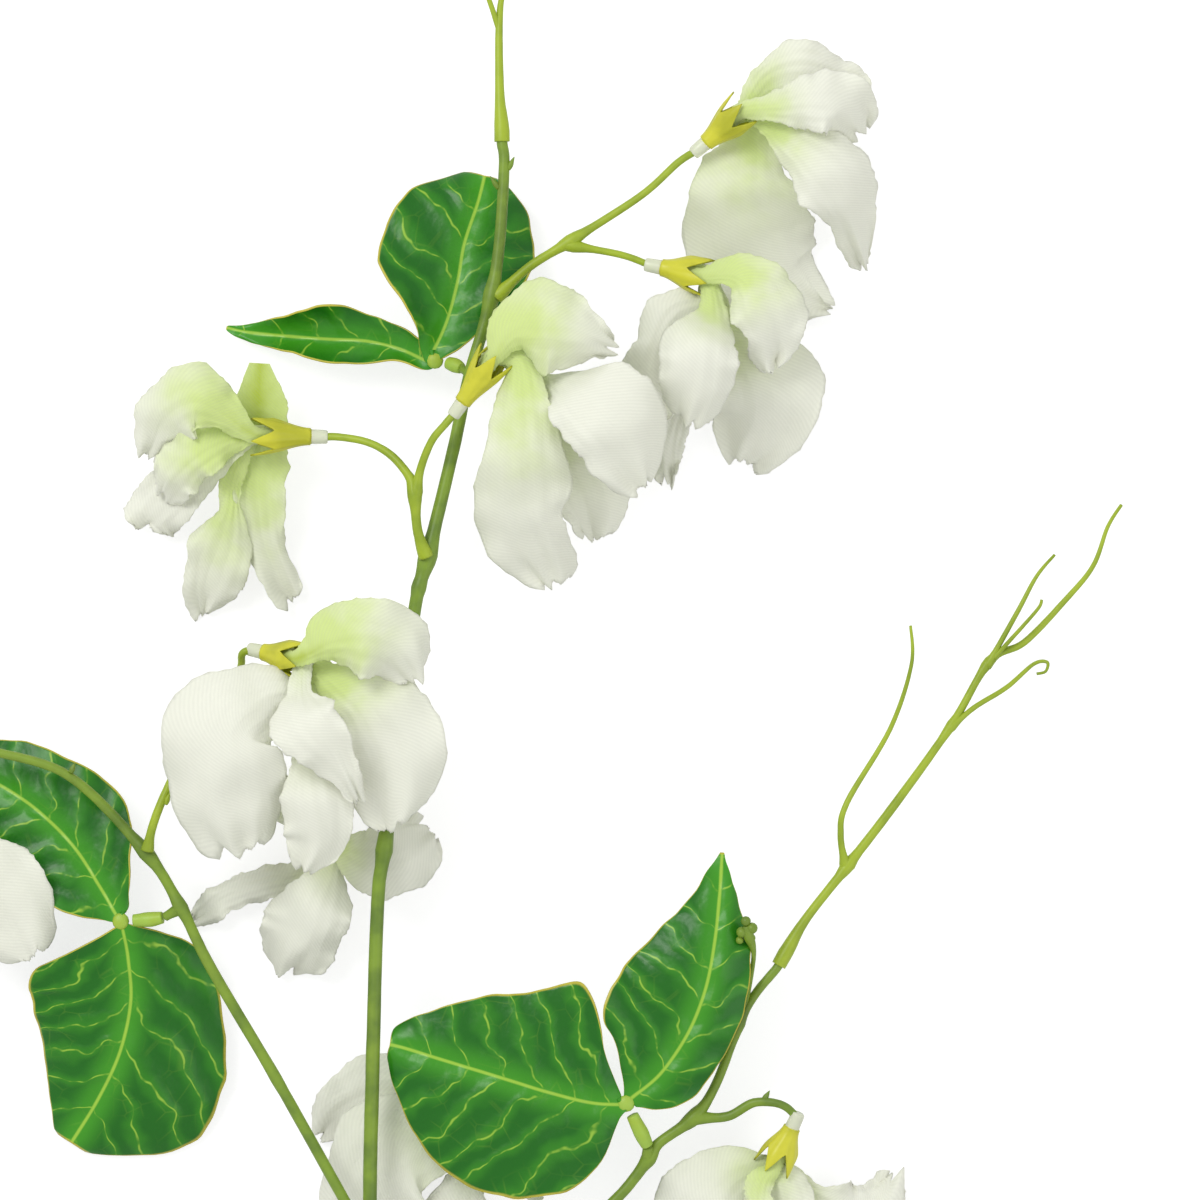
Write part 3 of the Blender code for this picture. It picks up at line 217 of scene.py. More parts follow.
# ---- blooms ------------------------------------------------------------------------------
# calyx: (base, mouth, roll in degrees).
# petals: name -> (slot, cup_left, cup_right, rows). The slot is the petal's place across the
# calyx mouth, highest first. A cup is how much an edge rises or falls for each mm of half
# width. Rows are (x, y, z, left, right), from the claw to the tip.
BLOOMS = {
    "bloom_centre": {
        "calyx": ((17.9, 219, 26), (22.8, 225.8, 27), 20),
        "petals": {
            "wing_left": (1.9, -0.55, -0.8, [
                (28.2, 232.6, 33, 5.6, 3.4), (35, 233.4, 35.4, 7.8, 7.4), (41, 231.8, 34.4, 4.8, 4.8),
                (47.6, 229.4, 30, 2.2, 2.2)]),
            "standard": (0.65, -0.35, -0.5, [
                (29, 226.6, 28.8, 2.4, 2.2), (29.8, 216.4, 31, 5, 5.2), (29.6, 204, 28, 7.4, 7),
                (31, 194, 20.6, 5.4, 7.6), (35.4, 183, 10, 6, 3.6)]),
            "wing_right": (-0.5, -0.35, -0.45, [
                (35, 223.4, 26.2, 1.8, 1.8), (40, 218.6, 34.6, 9, 4.2), (46.8, 211.6, 35.4, 10.4, 5.4),
                (53.4, 202.6, 26, 3.4, 5)]),
            "keel": (-2.1, 0.15, 0.2, [
                (31, 224, 23.6, 2, 2), (36.6, 214, 18.6, 4, 3.6), (41.8, 202, 13, 7, 5.4),
                (44, 192.6, 5, 4.4, 3.4)]),
        },
    },
    "bloom_upper": {
        "calyx": ((57.2, 245.8, 19.6), (63.2, 244.6, 20.4), 40),
        "petals": {
            "wing_left": (0, -0.5, -0.4, [
                (65.6, 239, 19.4, 2.2, 2), (60, 236.4, 20, 4, 4.2), (56.4, 230, 19, 3.6, 3.6),
                (54.8, 221.6, 15, 5, 5.4), (56.4, 214.4, 10.6, 3, 3)]),
            "keel": (1.1, -0.6, -0.65, [
                (67, 237, 25.4, 2.4, 2.6), (65, 230.6, 33, 6, 6), (64, 223, 32, 6.2, 6.2),
                (62.2, 215.4, 23, 4.4, 3)]),
            "wing_right": (2.2, -0.5, -0.5, [
                (72.4, 243.6, 29.4, 4.4, 2.2), (76.4, 238, 31, 7.2, 4.8), (78.6, 231.4, 27, 5.2, 3.6),
                (79.4, 225.4, 21, 2.4, 2.6)]),
            "standard": (-1.1, -0.3, -0.3, [
                (70.4, 233, 17, 3, 3), (75.6, 224.4, 16.6, 9.4, 6), (77, 216.8, 12.6, 8.6, 8),
                (73.2, 207.4, 3.4, 5, 4.6)]),
            "tail_petal": (-2.2, 0.1, 0.1, [
                (65.4, 231, 12.6, 2.6, 2.6), (61.4, 220.4, 7, 3, 2.6), (58.8, 211.6, 4, 2.4, 2.4),
                (58.8, 203.6, 1.6, 1.8, 1.6)]),
        },
    },
    "bloom_top": {
        "calyx": ((66, 270.6, 18.2), (71.4, 275.2, 19.1), 75),
        "petals": {
            "keel": (0.65, -0.3, -0.3, [
                (78, 283.4, 21.4, 3, 4), (85, 285, 24, 4.2, 4.6), (92, 283, 22, 3.4, 4),
                (97.4, 278.6, 17.4, 2.6, 3)]),
            "wing_left": (1.9, -0.45, -0.6, [
                (80, 277.4, 27.4, 2.6, 2.8), (86.4, 278, 31.6, 4.6, 4.6), (92.4, 277.2, 30.4, 5.4, 5),
                (96.4, 272.6, 22, 4, 3.2)]),
            "wing_right": (-0.65, -0.5, -0.5, [
                (78.6, 273.6, 20.6, 2, 2), (84, 268.8, 25.6, 4.6, 3), (90, 263, 27.6, 7.4, 5.6),
                (94.6, 255, 18.6, 4.6, 3.4), (98, 246.6, 5, 1.8, 1.8)]),
            "standard": (-1.9, -0.25, -0.35, [
                (75.4, 270.4, 14.2, 4.4, 6), (74.8, 262, 16.6, 7.4, 8.8), (75.8, 252, 9.6, 9.6, 10.6),
                (80.6, 243, 5, 8, 7.6), (90.6, 238.2, 2, 2, 2.4)]),
        },
    },
    "bloom_left": {
        "calyx": ((-12.4, 212.4, 16), (-20.8, 212.6, 16.4), 0),
        "petals": {
            "wing_left": (2.2, -0.5, -0.55, [
                (-29, 216.4, 23.6, 3, 3.4), (-35, 219.4, 26.4, 5.4, 5.6), (-41, 216.4, 22.6, 5.6, 5),
                (-45, 208.6, 13.6, 3.2, 3.2)]),
            "keel": (1.1, -0.5, -0.35, [
                (-29, 211.6, 19, 3, 3.2), (-35, 208.4, 21.4, 3.8, 4.4), (-39.6, 204.4, 17.6, 4, 3.6),
                (-41.8, 200.8, 12.4, 3.2, 2.4)]),
            "wing_right": (0, -0.3, -0.3, [
                (-31, 208, 15.4, 2.6, 2.6), (-38.6, 202, 10.8, 4.2, 5), (-44, 197, 6, 4.4, 4.6),
                (-46, 194.4, 3, 3.4, 3.4)]),
            "lower_petal": (-1.1, -0.3, -0.3, [
                (-27.6, 205.2, 13, 2, 1.8), (-28.2, 198, 12.4, 2, 2.6), (-30.2, 190.6, 10, 4.6, 6),
                (-33, 183.6, 6, 5, 4), (-34.2, 177, 1.4, 2, 2)]),
            "standard": (None, 0.1, 0.2, [
                (-22.4, 227, 13.4, 1.8, 2.2), (-22.8, 219, 12.4, 5.4, 4.4),
                (-22.4, 211, 11.2, 4.2, 3.8),
                (-22.4, 202, 10.6, 4.2, 4.2), (-21.2, 191, 7.4, 3.4, 3.6), (-16.4, 180, 2, 3, 2.4)]),
        },
    },
    "bloom_large": {
        "calyx": ((-21.4, 169.7, 25.2), (-16, 168.6, 28), 110),
        "petals": {
            "wing_left": (2.4, -0.5, -0.6, [
                (-11.6, 169.8, 36, 2.6, 2), (-7.4, 172, 39.8, 5.2, 3.4),
                (-1, 172.4, 43.4, 6.8, 6), (5, 170, 40, 6.2, 5.4), (8.6, 164.4, 33.4, 3.4, 3)]),
            "wing_right": (-1.4, -0.25, -0.3, [
                (-8, 164.4, 31.6, 3, 3), (-1.4, 158.4, 34.4, 8.6, 4), (3.8, 149, 31.4, 8.8, 8),
                (4.6, 135.2, 26, 4.4, 5)]),
            "standard": (-0.35, -0.4, -0.7, [
                (-14.6, 163.2, 30.6, 2, 2), (-21, 161, 35, 5.4, 5.4), (-28, 154.6, 38.6, 8, 9.6),
                (-28, 143.4, 35, 9.2, 9.6),
                (-25.4, 130.6, 26, 6.4, 7)]),
            "keel": (0.6, -0.1, -0.4, [
                (-13.6, 162, 34.8, 2, 2.4), (-12, 157, 43, 4.8, 6.6), (-7, 150, 41, 3, 4.4),
                (-2.4, 140.6, 34.4, 1.6, 1.6)]),
            "lower_petal": (-2.4, -0.4, -0.4, [
                (-12.6, 158, 29.4, 2, 2), (-12, 148, 33, 4, 3.4), (-11, 140, 34.6, 6, 5.6),
                (-10.4, 132.6, 30, 5.4, 5.8),
                (-13, 126.8, 25, 2.6, 2.6)]),
        },
    },
    "bloom_under": {
        "calyx": ((-16.4, 136, 9.6), (-10.4, 133, 10), 0),
        "petals": {
            "wing_left": (-0.9, -0.2, -0.2, [
                (-12, 125.6, 7, 2.4, 2.2), (-22, 123.4, 6, 2.4, 2.2), (-30, 120.6, 4.4, 2.4, 2.4),
                (-36.4, 116, 1.6, 1.8, 2)]),
            "keel": (0.9, -0.45, -0.45, [
                (-8.2, 126.6, 12, 2.4, 2.2), (-11.2, 119.2, 14, 5.4, 6),
                (-14, 112, 10.6, 5.6, 7.4), (-17.8, 105.4, 2.4, 4, 4.4)]),
            "wing_right": (2.1, -0.35, -0.4, [
                (-2, 129.4, 15, 4.6, 5.4), (5, 129.6, 14.4, 7.4, 6.4), (11.4, 133.6, 9, 5, 4)]),
        },
    },
    "bloom_far_left": {
        "calyx": ((-87.6, 147, 18.4), (-87.8, 140.4, 18.8), 0),
        "petals": {
            "keel": (1.9, -0.5, -0.5, [
                (-87.6, 130.6, 27, 4, 4), (-88, 121, 27.6, 6.4, 6.4), (-88.6, 111.6, 17, 4, 4)]),
            "wing_left": (-0.65, -0.35, -0.4, [
                (-82, 131, 18.4, 4.4, 4), (-75, 121.6, 18.6, 8.6, 7.6), (-67.6, 109.6, 14, 4.6, 5)]),
            "wing_right": (-1.9, -0.5, -0.4, [
                (-93.6, 131, 16.6, 4, 4.6), (-98.4, 121.6, 12.6, 6, 7.4), (-100.4, 111.4, 2, 4, 4)]),
        },
    },
    "bloom_bottom": {
        "calyx": ((30.7, 62.6, 8.2), (26.4, 67.4, 8), 0),
        "petals": {
            "wing_left": (-1.3, -0.1, -0.15, [
                (14, 77, 5.6, 4, 5), (3, 80, 5, 6, 7), (-5, 77.4, 4, 8, 6.4), (-10, 73, 2, 5, 3.6)]),
            "keel": (1.6, -0.2, -0.25, [
                (15, 72, 11.4, 5, 4.6), (5, 71, 12, 9, 9.4), (-2, 64, 10.4, 11, 6.6),
                (-6.4, 53.6, 4, 6, 4)]),
            "wing_right": (0.1, -0.3, -0.3, [
                (18.4, 62.6, 8, 3, 4), (16.2, 52, 7.4, 8, 7), (17, 40, 2, 5, 5)]),
        },
    },
    "bloom_low_right": {
        "calyx": ((83, 75.4, 17.4), (80.8, 70.6, 16), 36),
        "petals": {
            "wing_left": (-0.65, -0.3, -0.35, [
                (72.6, 65.6, 15.6, 4, 5.6), (66.6, 60, 15.6, 8, 8), (62.4, 52, 11.4, 9, 7),
                (62, 43, 3, 5, 5)]),
            "keel": (1.9, -0.5, -0.5, [
                (77, 64.6, 19.6, 2.4, 2.4), (76, 59, 22, 3, 3), (77, 51.6, 18, 4, 4),
                (79, 45, 9, 3, 3)]),
            "wing_right": (0.65, -0.4, -0.3, [
                (82, 64.4, 16.4, 3, 3), (84, 57, 15.6, 3.6, 4.6), (84.4, 49.6, 10, 4, 5),
                (83.6, 41.6, 2, 3, 3)]),
            "standard": (-1.9, -0.2, -0.3, [
                (86.4, 61.6, 10, 3, 4), (94, 57.4, 7.6, 5, 6), (100.4, 59.4, 5, 4, 5.4),
                (104, 65.6, 2.6, 2.2, 2.6)]),
        },
    },
}

# Swellings where stalks are plugged in or the mould left a knot: (x, y, z), extra radius, reach.
SWELLINGS = [
    ((2.4, 131, 20), 0.5, 2.2), ((10.4, 189, 20), 0.7, 3), ((-2.2, 87, 19.2), 0.35, 1.2),
    ((9.2, 182.6, 20), 0.3, 1), ((1.4, 66.4, 18.6), 0.3, 1), ((8.4, 201, 22.6), 0.6, 2.6),
    ((39.6, 250.6, 18.2), 0.6, 2.6), ((25, 240, 17.4), 0.7, 3), ((-45, 130, 17.6), 0.6, 2.6),
    ((-38.4, 119, 17.4), 0.45, 2), ((-20, 86, 18.4), 0.4, 1.2), ((94, 127.4, 15), 0.5, 1.8),
    ((115, 154.6, 9.8), 0.35, 1.6), ((122.6, 167.2, 7.8), 0.4, 1.8), ((63.6, 77.4, 16), 0.6, 2.4),
    ((55, 69.4, 16), 0.5, 2), ((72.6, 95.6, 16.2), 0.35, 1.6), ((37, 52, 15), 0.4, 1.8),
]
# Tiny bracts beside the stems: where, which way they point, length, and the node they belong to.
BRACTS = [
    ((24.9, 261.6, 16.8), (-0.7, 1, 0.2), 3.0, "main_stem"),
    ((26.8, 265.4, 16.8), (0.5, 1, 0.2), 2.8, "main_stem"),
    ((-59.8, 145.8, 18), (0.4, 1, 0.2), 2.2, "left_branch"),
    ((-41, 139.6, 20), (0.4, 1, 0.3), 2.6, "lower_flower_stalk"),
    ((77.4, 80.8, 17.6), (0.6, 1, 0.2), 2.4, "right_branch"),
]
# The small buds at the end of the bud stalk: where, and radius.
BUDS = [((73, 114.4, 23.6), 1.1), ((75, 115.2, 23.8), 1.15), ((73.8, 116.6, 24.2), 1.0),
        ((74.8, 113.2, 22.8), 0.95), ((72.6, 112.8, 22.8), 0.8)]

# How green each petal's throat is, and how far along the petal the green reaches (0..1).
THROATS = {
    "bloom_centre_wing_left": (0.75, 0.8), "bloom_centre_standard": (0.7, 0.62),
    "bloom_centre_wing_right": (0.6, 0.4), "bloom_centre_keel": (0.5, 0.8),
    "bloom_upper_wing_left": (0.35, 0.4), "bloom_upper_keel": (0.75, 0.5),
    "bloom_upper_wing_right": (0.75, 0.6), "bloom_upper_standard": (0.45, 0.6),
    "bloom_top_keel": (0.55, 0.5), "bloom_top_wing_left": (0.6, 0.5),
    "bloom_top_wing_right": (0.75, 0.5), "bloom_top_standard": (0.5, 0.6),
    "bloom_left_wing_left": (0.85, 0.75), "bloom_left_keel": (0.9, 0.75),
    "bloom_left_wing_right": (0.5, 0.5), "bloom_left_lower_petal": (0.75, 0.7),
    "bloom_left_standard": (0.9, 1.0), "bloom_large_wing_left": (0.95, 0.7),
    "bloom_large_wing_right": (0.9, 0.55), "bloom_large_standard": (0.3, 0.35),
    "bloom_large_keel": (0.35, 0.4), "bloom_under_keel": (0.45, 0.5),
    "bloom_under_wing_right": (0.6, 0.5), "bloom_far_left_keel": (0.25, 0.4),
    "bloom_bottom_wing_left": (0.4, 0.6), "bloom_bottom_keel": (0.4, 0.6),
    "bloom_low_right_keel": (0.7, 0.6), "bloom_low_right_wing_left": (0.4, 0.5),
}
THROAT_USUAL = (0.45, 0.5)


# ---- curves and meshes ---------------------------------------------------------------------
def catmull(rows, position):
    """The smooth curve through rows of numbers, at position 0..1 along them."""
    place = min(position, 1 - 1e-9) * (len(rows) - 1)
    index = int(place)
    t = place - index
    before, here, there, after = (rows[min(max(index + k, 0), len(rows) - 1)] for k in (-1, 0, 1, 2))
    return [0.5 * (2 * b + (c - a) * t + (2 * a - 5 * b + 4 * c - d) * t * t
                   + (3 * b - a - 3 * c + d) * t ** 3)
            for a, b, c, d in zip(before, here, there, after)]


def smooth(low, high, value):
    """0 below low, 1 above high, and a smooth step between."""
    t = min(max((value - low) / (high - low), 0), 1)
    return t * t * (3 - 2 * t)


class Shape:
    """Points in layout millimetres, faces, and what the shaders read from each point."""

    def __init__(self):
        self.points, self.faces, self.places, self.tones = [], [], [], []

    def grid(self, rows_of_points, places, tones, wrap=False, caps=False):
        """A grid of points; wrap closes it round, caps closes its two ends."""
        first = len(self.points)
        columns = len(rows_of_points[0])
        for k, row in enumerate(rows_of_points):
            self.points += row
            self.places += places[k]
            self.tones += tones[k]
        steps = columns if wrap else columns - 1
        for k in range(len(rows_of_points) - 1):
            near, far = first + k * columns, first + (k + 1) * columns
            for m in range(steps):
                n = (m + 1) % columns
                self.faces.append((near + m, near + n, far + n, far + m))
        if caps:
            last = first + (len(rows_of_points) - 1) * columns
            self.faces.append(list(range(first + columns - 1, first - 1, -1)))
            self.faces.append(list(range(last, last + columns)))

    def build(self, name, material, node, thickness=0.0):
        """The Blender object of this shape, standing for a node of the frame."""
        mesh = bpy.data.meshes.new(name)
        mesh.from_pydata([(point + layout_shift()) * MM for point in self.points], [], self.faces)
        mesh.materials.append(material)
        mesh.polygons.foreach_set("use_smooth", [True] * len(mesh.polygons))
        uv_map = mesh.uv_layers.new(name="place_mm")
        for loop in mesh.loops:
            uv_map.data[loop.index].uv = self.places[loop.vertex_index]
        tone = mesh.attributes.new("tone", "FLOAT", "POINT")
        tone.data.foreach_set("value", self.tones)
        piece = bpy.data.objects.new(name, mesh)
        bpy.context.scene.collection.objects.link(piece)
        if thickness:
            solidify = piece.modifiers.new("thickness", "SOLIDIFY")
            solidify.thickness = thickness * MM
            solidify.offset = 0.0
        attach(piece, "root")
        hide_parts(node)
        return piece


def swollen(point, radius):
    """A tube's radius at a point, with the knots and plugs near it."""
    for place, extra, reach in SWELLINGS:
        distance = (point - Vector(place)).length
        if distance < 3 * reach:
            radius += extra * math.exp(-(distance / reach) ** 2)
    return radius


def tube(shape, path, sides=STEM_SIDES, steps=None, rough=0.05):
    """Adds a closed tube along a smooth path of (x, y, z, radius)."""
    steps = steps or TUBE_STEPS * (len(path) - 1)
    samples = [catmull(path, k / steps) for k in range(steps + 1)]
    centres = [Vector(sample[:3]) for sample in samples]
    across, run = None, 0.0
    rings, places, tones = [], [], []
    for k, centre in enumerate(centres):
        tangent = (centres[min(k + 1, steps)] - centres[max(k - 1, 0)]).normalized()
        if across is None:
            across = tangent.cross(Vector((0, 0, 1))).normalized()
        across = (across - tangent * across.dot(tangent)).normalized()
        up = tangent.cross(across)
        run += (centre - centres[max(k - 1, 0)]).length
        radius = swollen(centre, samples[k][3])
        ring = []
        for side in range(sides):
            angle = 2 * math.pi * (side + 0.5) / sides
            out = across * math.cos(angle) + up * math.sin(angle)
            ring.append(centre + out * radius * (1 + rough * noise.noise((centre + out * 3) * 0.9)))
        rings.append(ring)
        places.append([(run, 2 * radius * side / sides) for side in range(sides)])
        tones.append([0.0] * sides)
    shape.grid(rings, places, tones, wrap=True, caps=True)


def to_calyx(path, bloom):
    """The path with its end brought square onto the back of the bloom's calyx."""
    base, mouth, _ = BLOOMS[bloom]["calyx"]
    base = Vector(base)
    axis = (Vector(mouth) - base).normalized()
    radius = path[-1][3]
    return list(path) + [(*(base - axis * STALK_END_RUN), radius), (*(base - axis * SEAT_GAP), radius)]


def bead(shape, centre, radius, stretch=(1, 1, 1)):
    """Adds a small ball, or an egg where stretch says so."""
    rows, columns = 8, 12
    rings, places = [], []
    for k in range(rows + 1):
        polar = math.pi * (0.02 + 0.96 * k / rows)
        rings.append([Vector(centre) + Vector((radius * stretch[0] * math.sin(polar) * math.cos(turn),
                                               radius * stretch[1] * math.sin(polar) * math.sin(turn),
                                               -radius * stretch[2] * math.cos(polar)))
                      for turn in (2 * math.pi * m / columns for m in range(columns))])
        places.append([(k, m) for m in range(columns)])
    shape.grid(rings, places, [[0.0] * columns] * (rows + 1), wrap=True, caps=True)


def bract(shape, foot, towards, length):
    """Adds a tiny pointed bract."""
    heading = Vector(towards).normalized()
    foot = Vector(foot)
    path = [(*(foot + heading * length * share), radius)
            for share, radius in ((0, 0.5), (0.35, 0.62), (0.7, 0.36), (1, 0.06))]
    tube(shape, path, sides=8, steps=10, rough=0.1)


def sheet_point(rows, along, across):
    """A sheet's point, its half width there, and its sideways direction."""
    x, y, z, left, right, lift_left, lift_right = catmull(rows, along)
    behind, ahead = catmull(rows, max(along - 0.02, 0)), catmull(rows, min(along + 0.02, 1))
    heading = Vector((ahead[0] - behind[0], ahead[1] - behind[1], 0)).normalized()
    side = Vector((heading.y, -heading.x, 0))
    half_width, lift = (right, lift_right) if across > 0 else (left, lift_left)
    if along > ROUND_FROM:
        fall = (along - ROUND_FROM) / (1 - ROUND_FROM)
        half_width *= ROUND_LEFT + (1 - ROUND_LEFT) * math.sqrt(max(1 - fall * fall, 0))
    return Vector((x, y, z + lift * across * across)) + side * half_width * across, half_width, side, heading


def spine_lengths(rows, count):
    """How far along the spine each row of the grid lies, mm."""
    lengths, before = [], None
    for k in range(count + 1):
        here = Vector(catmull(rows, k / count)[:3])
        lengths.append(0.0 if before is None else lengths[-1] + (here - before).length)
        before = here
    return lengths


def layout_shift():
    """What takes a layout point to the row frame, mm; worked out once from the main stem's box."""
    if "shift" not in LAYOUT:
        low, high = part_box("main_stem")
        samples = [catmull(MAIN_STEM, k / 200) for k in range(201)]
        reach = [[sample[axis] for sample in samples] for axis in range(3)]
        own = Vector([(min(values) + max(values)) / 2 for values in reach])
        LAYOUT["shift"] = (Vector(low) + Vector(high)) / 2 / MM - own
        LAYOUT["shift"].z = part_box("main_stem")[1][2] / MM - MAIN_STEM_TOP
    return LAYOUT["shift"]


# ---- materials -----------------------------------------------------------------------------
def linear(colour_hex):
    """An sRGB hex colour as linear RGBA."""
    channels = (int(colour_hex[k:k + 2], 16) / 255 for k in (1, 3, 5))
    return (*(c / 12.92 if c <= 0.04045 else ((c + 0.055) / 1.055) ** 2.4 for c in channels), 1.0)


def rgba(setting):
    """A colour setting as RGBA."""
    return (*setting, 1.0)


def add(tree, kind, inputs=None, **settings):
    """One shader node; each input is a value or the socket that feeds it."""
    node = tree.nodes.new(kind)
    for key, value in settings.items():
        setattr(node, key, value)
    for key, value in (inputs or {}).items():
        if isinstance(value, bpy.types.NodeSocket):
            tree.links.new(value, node.inputs[key])
        else:
            node.inputs[key].default_value = value
    return node


def maths(tree, operation, first, second=0.0, clamp=False):
    """The result of one math node."""
    return add(tree, "ShaderNodeMath", {0: first, 1: second}, operation=operation, use_clamp=clamp).outputs[0]


def ranged(tree, value, low, high, out_low=0.0, out_high=1.0):
    """A value taken smoothly from one range to another."""
    return add(tree, "ShaderNodeMapRange", {"Value": value, "From Min": low, "From Max": high,
                                            "To Min": out_low, "To Max": out_high},
               interpolation_type="SMOOTHSTEP").outputs["Result"]


def blend(tree, share, first, second):
    """Two colours mixed by a share."""
    mixer = add(tree, "ShaderNodeMix", {0: share}, data_type="RGBA")
    for index, colour in ((6, first), (7, second)):
        if isinstance(colour, bpy.types.NodeSocket):
            tree.links.new(colour, mixer.inputs[index])
        else:
            mixer.inputs[index].default_value = colour
    return mixer.outputs[2]


def new_material(name):
    """An empty material, its node tree and its output."""
    material = bpy.data.materials.new(name)
    material.use_nodes = True
    tree = material.node_tree
    tree.nodes.clear()
    return material, tree, add(tree, "ShaderNodeOutputMaterial")


def place_mm(tree):
    """Where a point lies on its piece, in mm across and along."""
    return add(tree, "ShaderNodeUVMap", uv_map="place_mm").outputs["UV"]


def pressed_cloth(settings):
    """Heat-pressed white polyester twill, sprayed green in the throat: a matt, faintly ribbed white
    with painted grey shade along its ribs, that lets a little light through, so folds stay soft."""
    material, tree, output = new_material("heat_pressed_twill")
    place = place_mm(tree)
    tone = add(tree, "ShaderNodeAttribute", attribute_name="tone").outputs["Fac"]
    cloud = add(tree, "ShaderNodeTexNoise", {"Vector": place, "Scale": 0.12, "Detail": 3.0})
    drift = ranged(tree, cloud.outputs["Fac"], 0.3, 0.7, -0.08, 0.08)
    spray = maths(tree, "ADD", tone, maths(tree, "MULTIPLY", drift, ranged(tree, tone, 0.02, 0.3)), True)
    pale = blend(tree, ranged(tree, spray, 0.0, 0.45), rgba(settings.white), rgba(settings.throat))
    body = blend(tree, ranged(tree, spray, 0.55, 0.95), pale, rgba(settings.deep_throat))
    # The twill's ribs are coarsened from 0.25 mm to about 0.5 mm so that they show.
    ribs = add(tree, "ShaderNodeTexWave", {"Vector": place, "Scale": 0.444 / settings.rib_mm,
                                           "Distortion": 0.8, "Detail": 1.0},
               wave_type="BANDS", bands_direction="DIAGONAL")
    # Painted shade: the cloth colour is greyed a little towards #B9BDAE along the twill's ribs, standing for
    # the weave's shade.
    rib_shaded_colour = blend(tree, maths(tree, "MULTIPLY", ribs.outputs["Fac"], 0.10), body, linear("#B9BDAE"))
    creases = add(tree, "ShaderNodeTexNoise", {
        "Vector": add(tree, "ShaderNodeMapping", {"Vector": place, "Scale": (1.6, 0.10, 1.0)}).outputs[0],
        "Scale": 0.9, "Detail": 3.0})
    fine = add(tree, "ShaderNodeBump", {"Height": ribs.outputs["Fac"], "Strength": 0.35,
                                        "Distance": 0.05 * MM})
    folds = add(tree, "ShaderNodeBump", {"Height": creases.outputs["Fac"], "Strength": 0.3,
                                         "Distance": 0.45 * MM, "Normal": fine.outputs[0]})
    cloth = add(tree, "ShaderNodeBsdfPrincipled", {
        "Base Color": rib_shaded_colour, "Roughness": 0.88, "Specular IOR Level": 0.2, "Sheen Weight": 0.15,
        "Normal": folds.outputs[0]})
    through = add(tree, "ShaderNodeBsdfTranslucent", {"Color": rib_shaded_colour, "Normal": folds.outputs[0]})
    mixed = add(tree, "ShaderNodeMixShader", {0: settings.translucency, 1: cloth.outputs[0],
                                              2: through.outputs[0]})
    tree.links.new(mixed.outputs[0], output.inputs["Surface"])
    return material


def moulded_plastic(name, tone, shadow, roughness=0.42):
    """Injection-moulded polyethylene: a soft waxy gloss, slightly uneven in colour, with a fine bumpy
    grain."""
    material, tree, output = new_material(name)
    place = add(tree, "ShaderNodeTexCoord").outputs["Object"]
    patch = add(tree, "ShaderNodeTexNoise", {"Vector": place, "Scale": 140.0, "Detail": 4.0})
    body = blend(tree, ranged(tree, patch.outputs["Fac"], 0.35, 0.7), rgba(tone), rgba(shadow))
    grain = add(tree, "ShaderNodeTexNoise", {"Vector": place, "Scale": 900.0, "Detail": 2.0})
    bump = add(tree, "ShaderNodeBump", {"Height": grain.outputs["Fac"], "Strength": 0.25,
                                        "Distance": 0.12 * MM})
    shader = add(tree, "ShaderNodeBsdfPrincipled", {
        "Base Color": body, "Roughness": roughness, "Specular IOR Level": 0.4,
        "Normal": bump.outputs[0]})
    tree.links.new(shader.outputs[0], output.inputs["Surface"])
    return material


def clear_glue(settings):
    """The clear hot-melt sleeve behind each calyx: milky, glossy, half see-through."""
    material, tree, output = new_material("hot_melt_sleeve")
    shader = add(tree, "ShaderNodeBsdfPrincipled", {
        "Base Color": rgba(settings.sleeve), "Roughness": 0.22, "Transmission Weight": 0.3,
        "IOR": 1.45})
    tree.links.new(shader.outputs[0], output.inputs["Surface"])
    return material


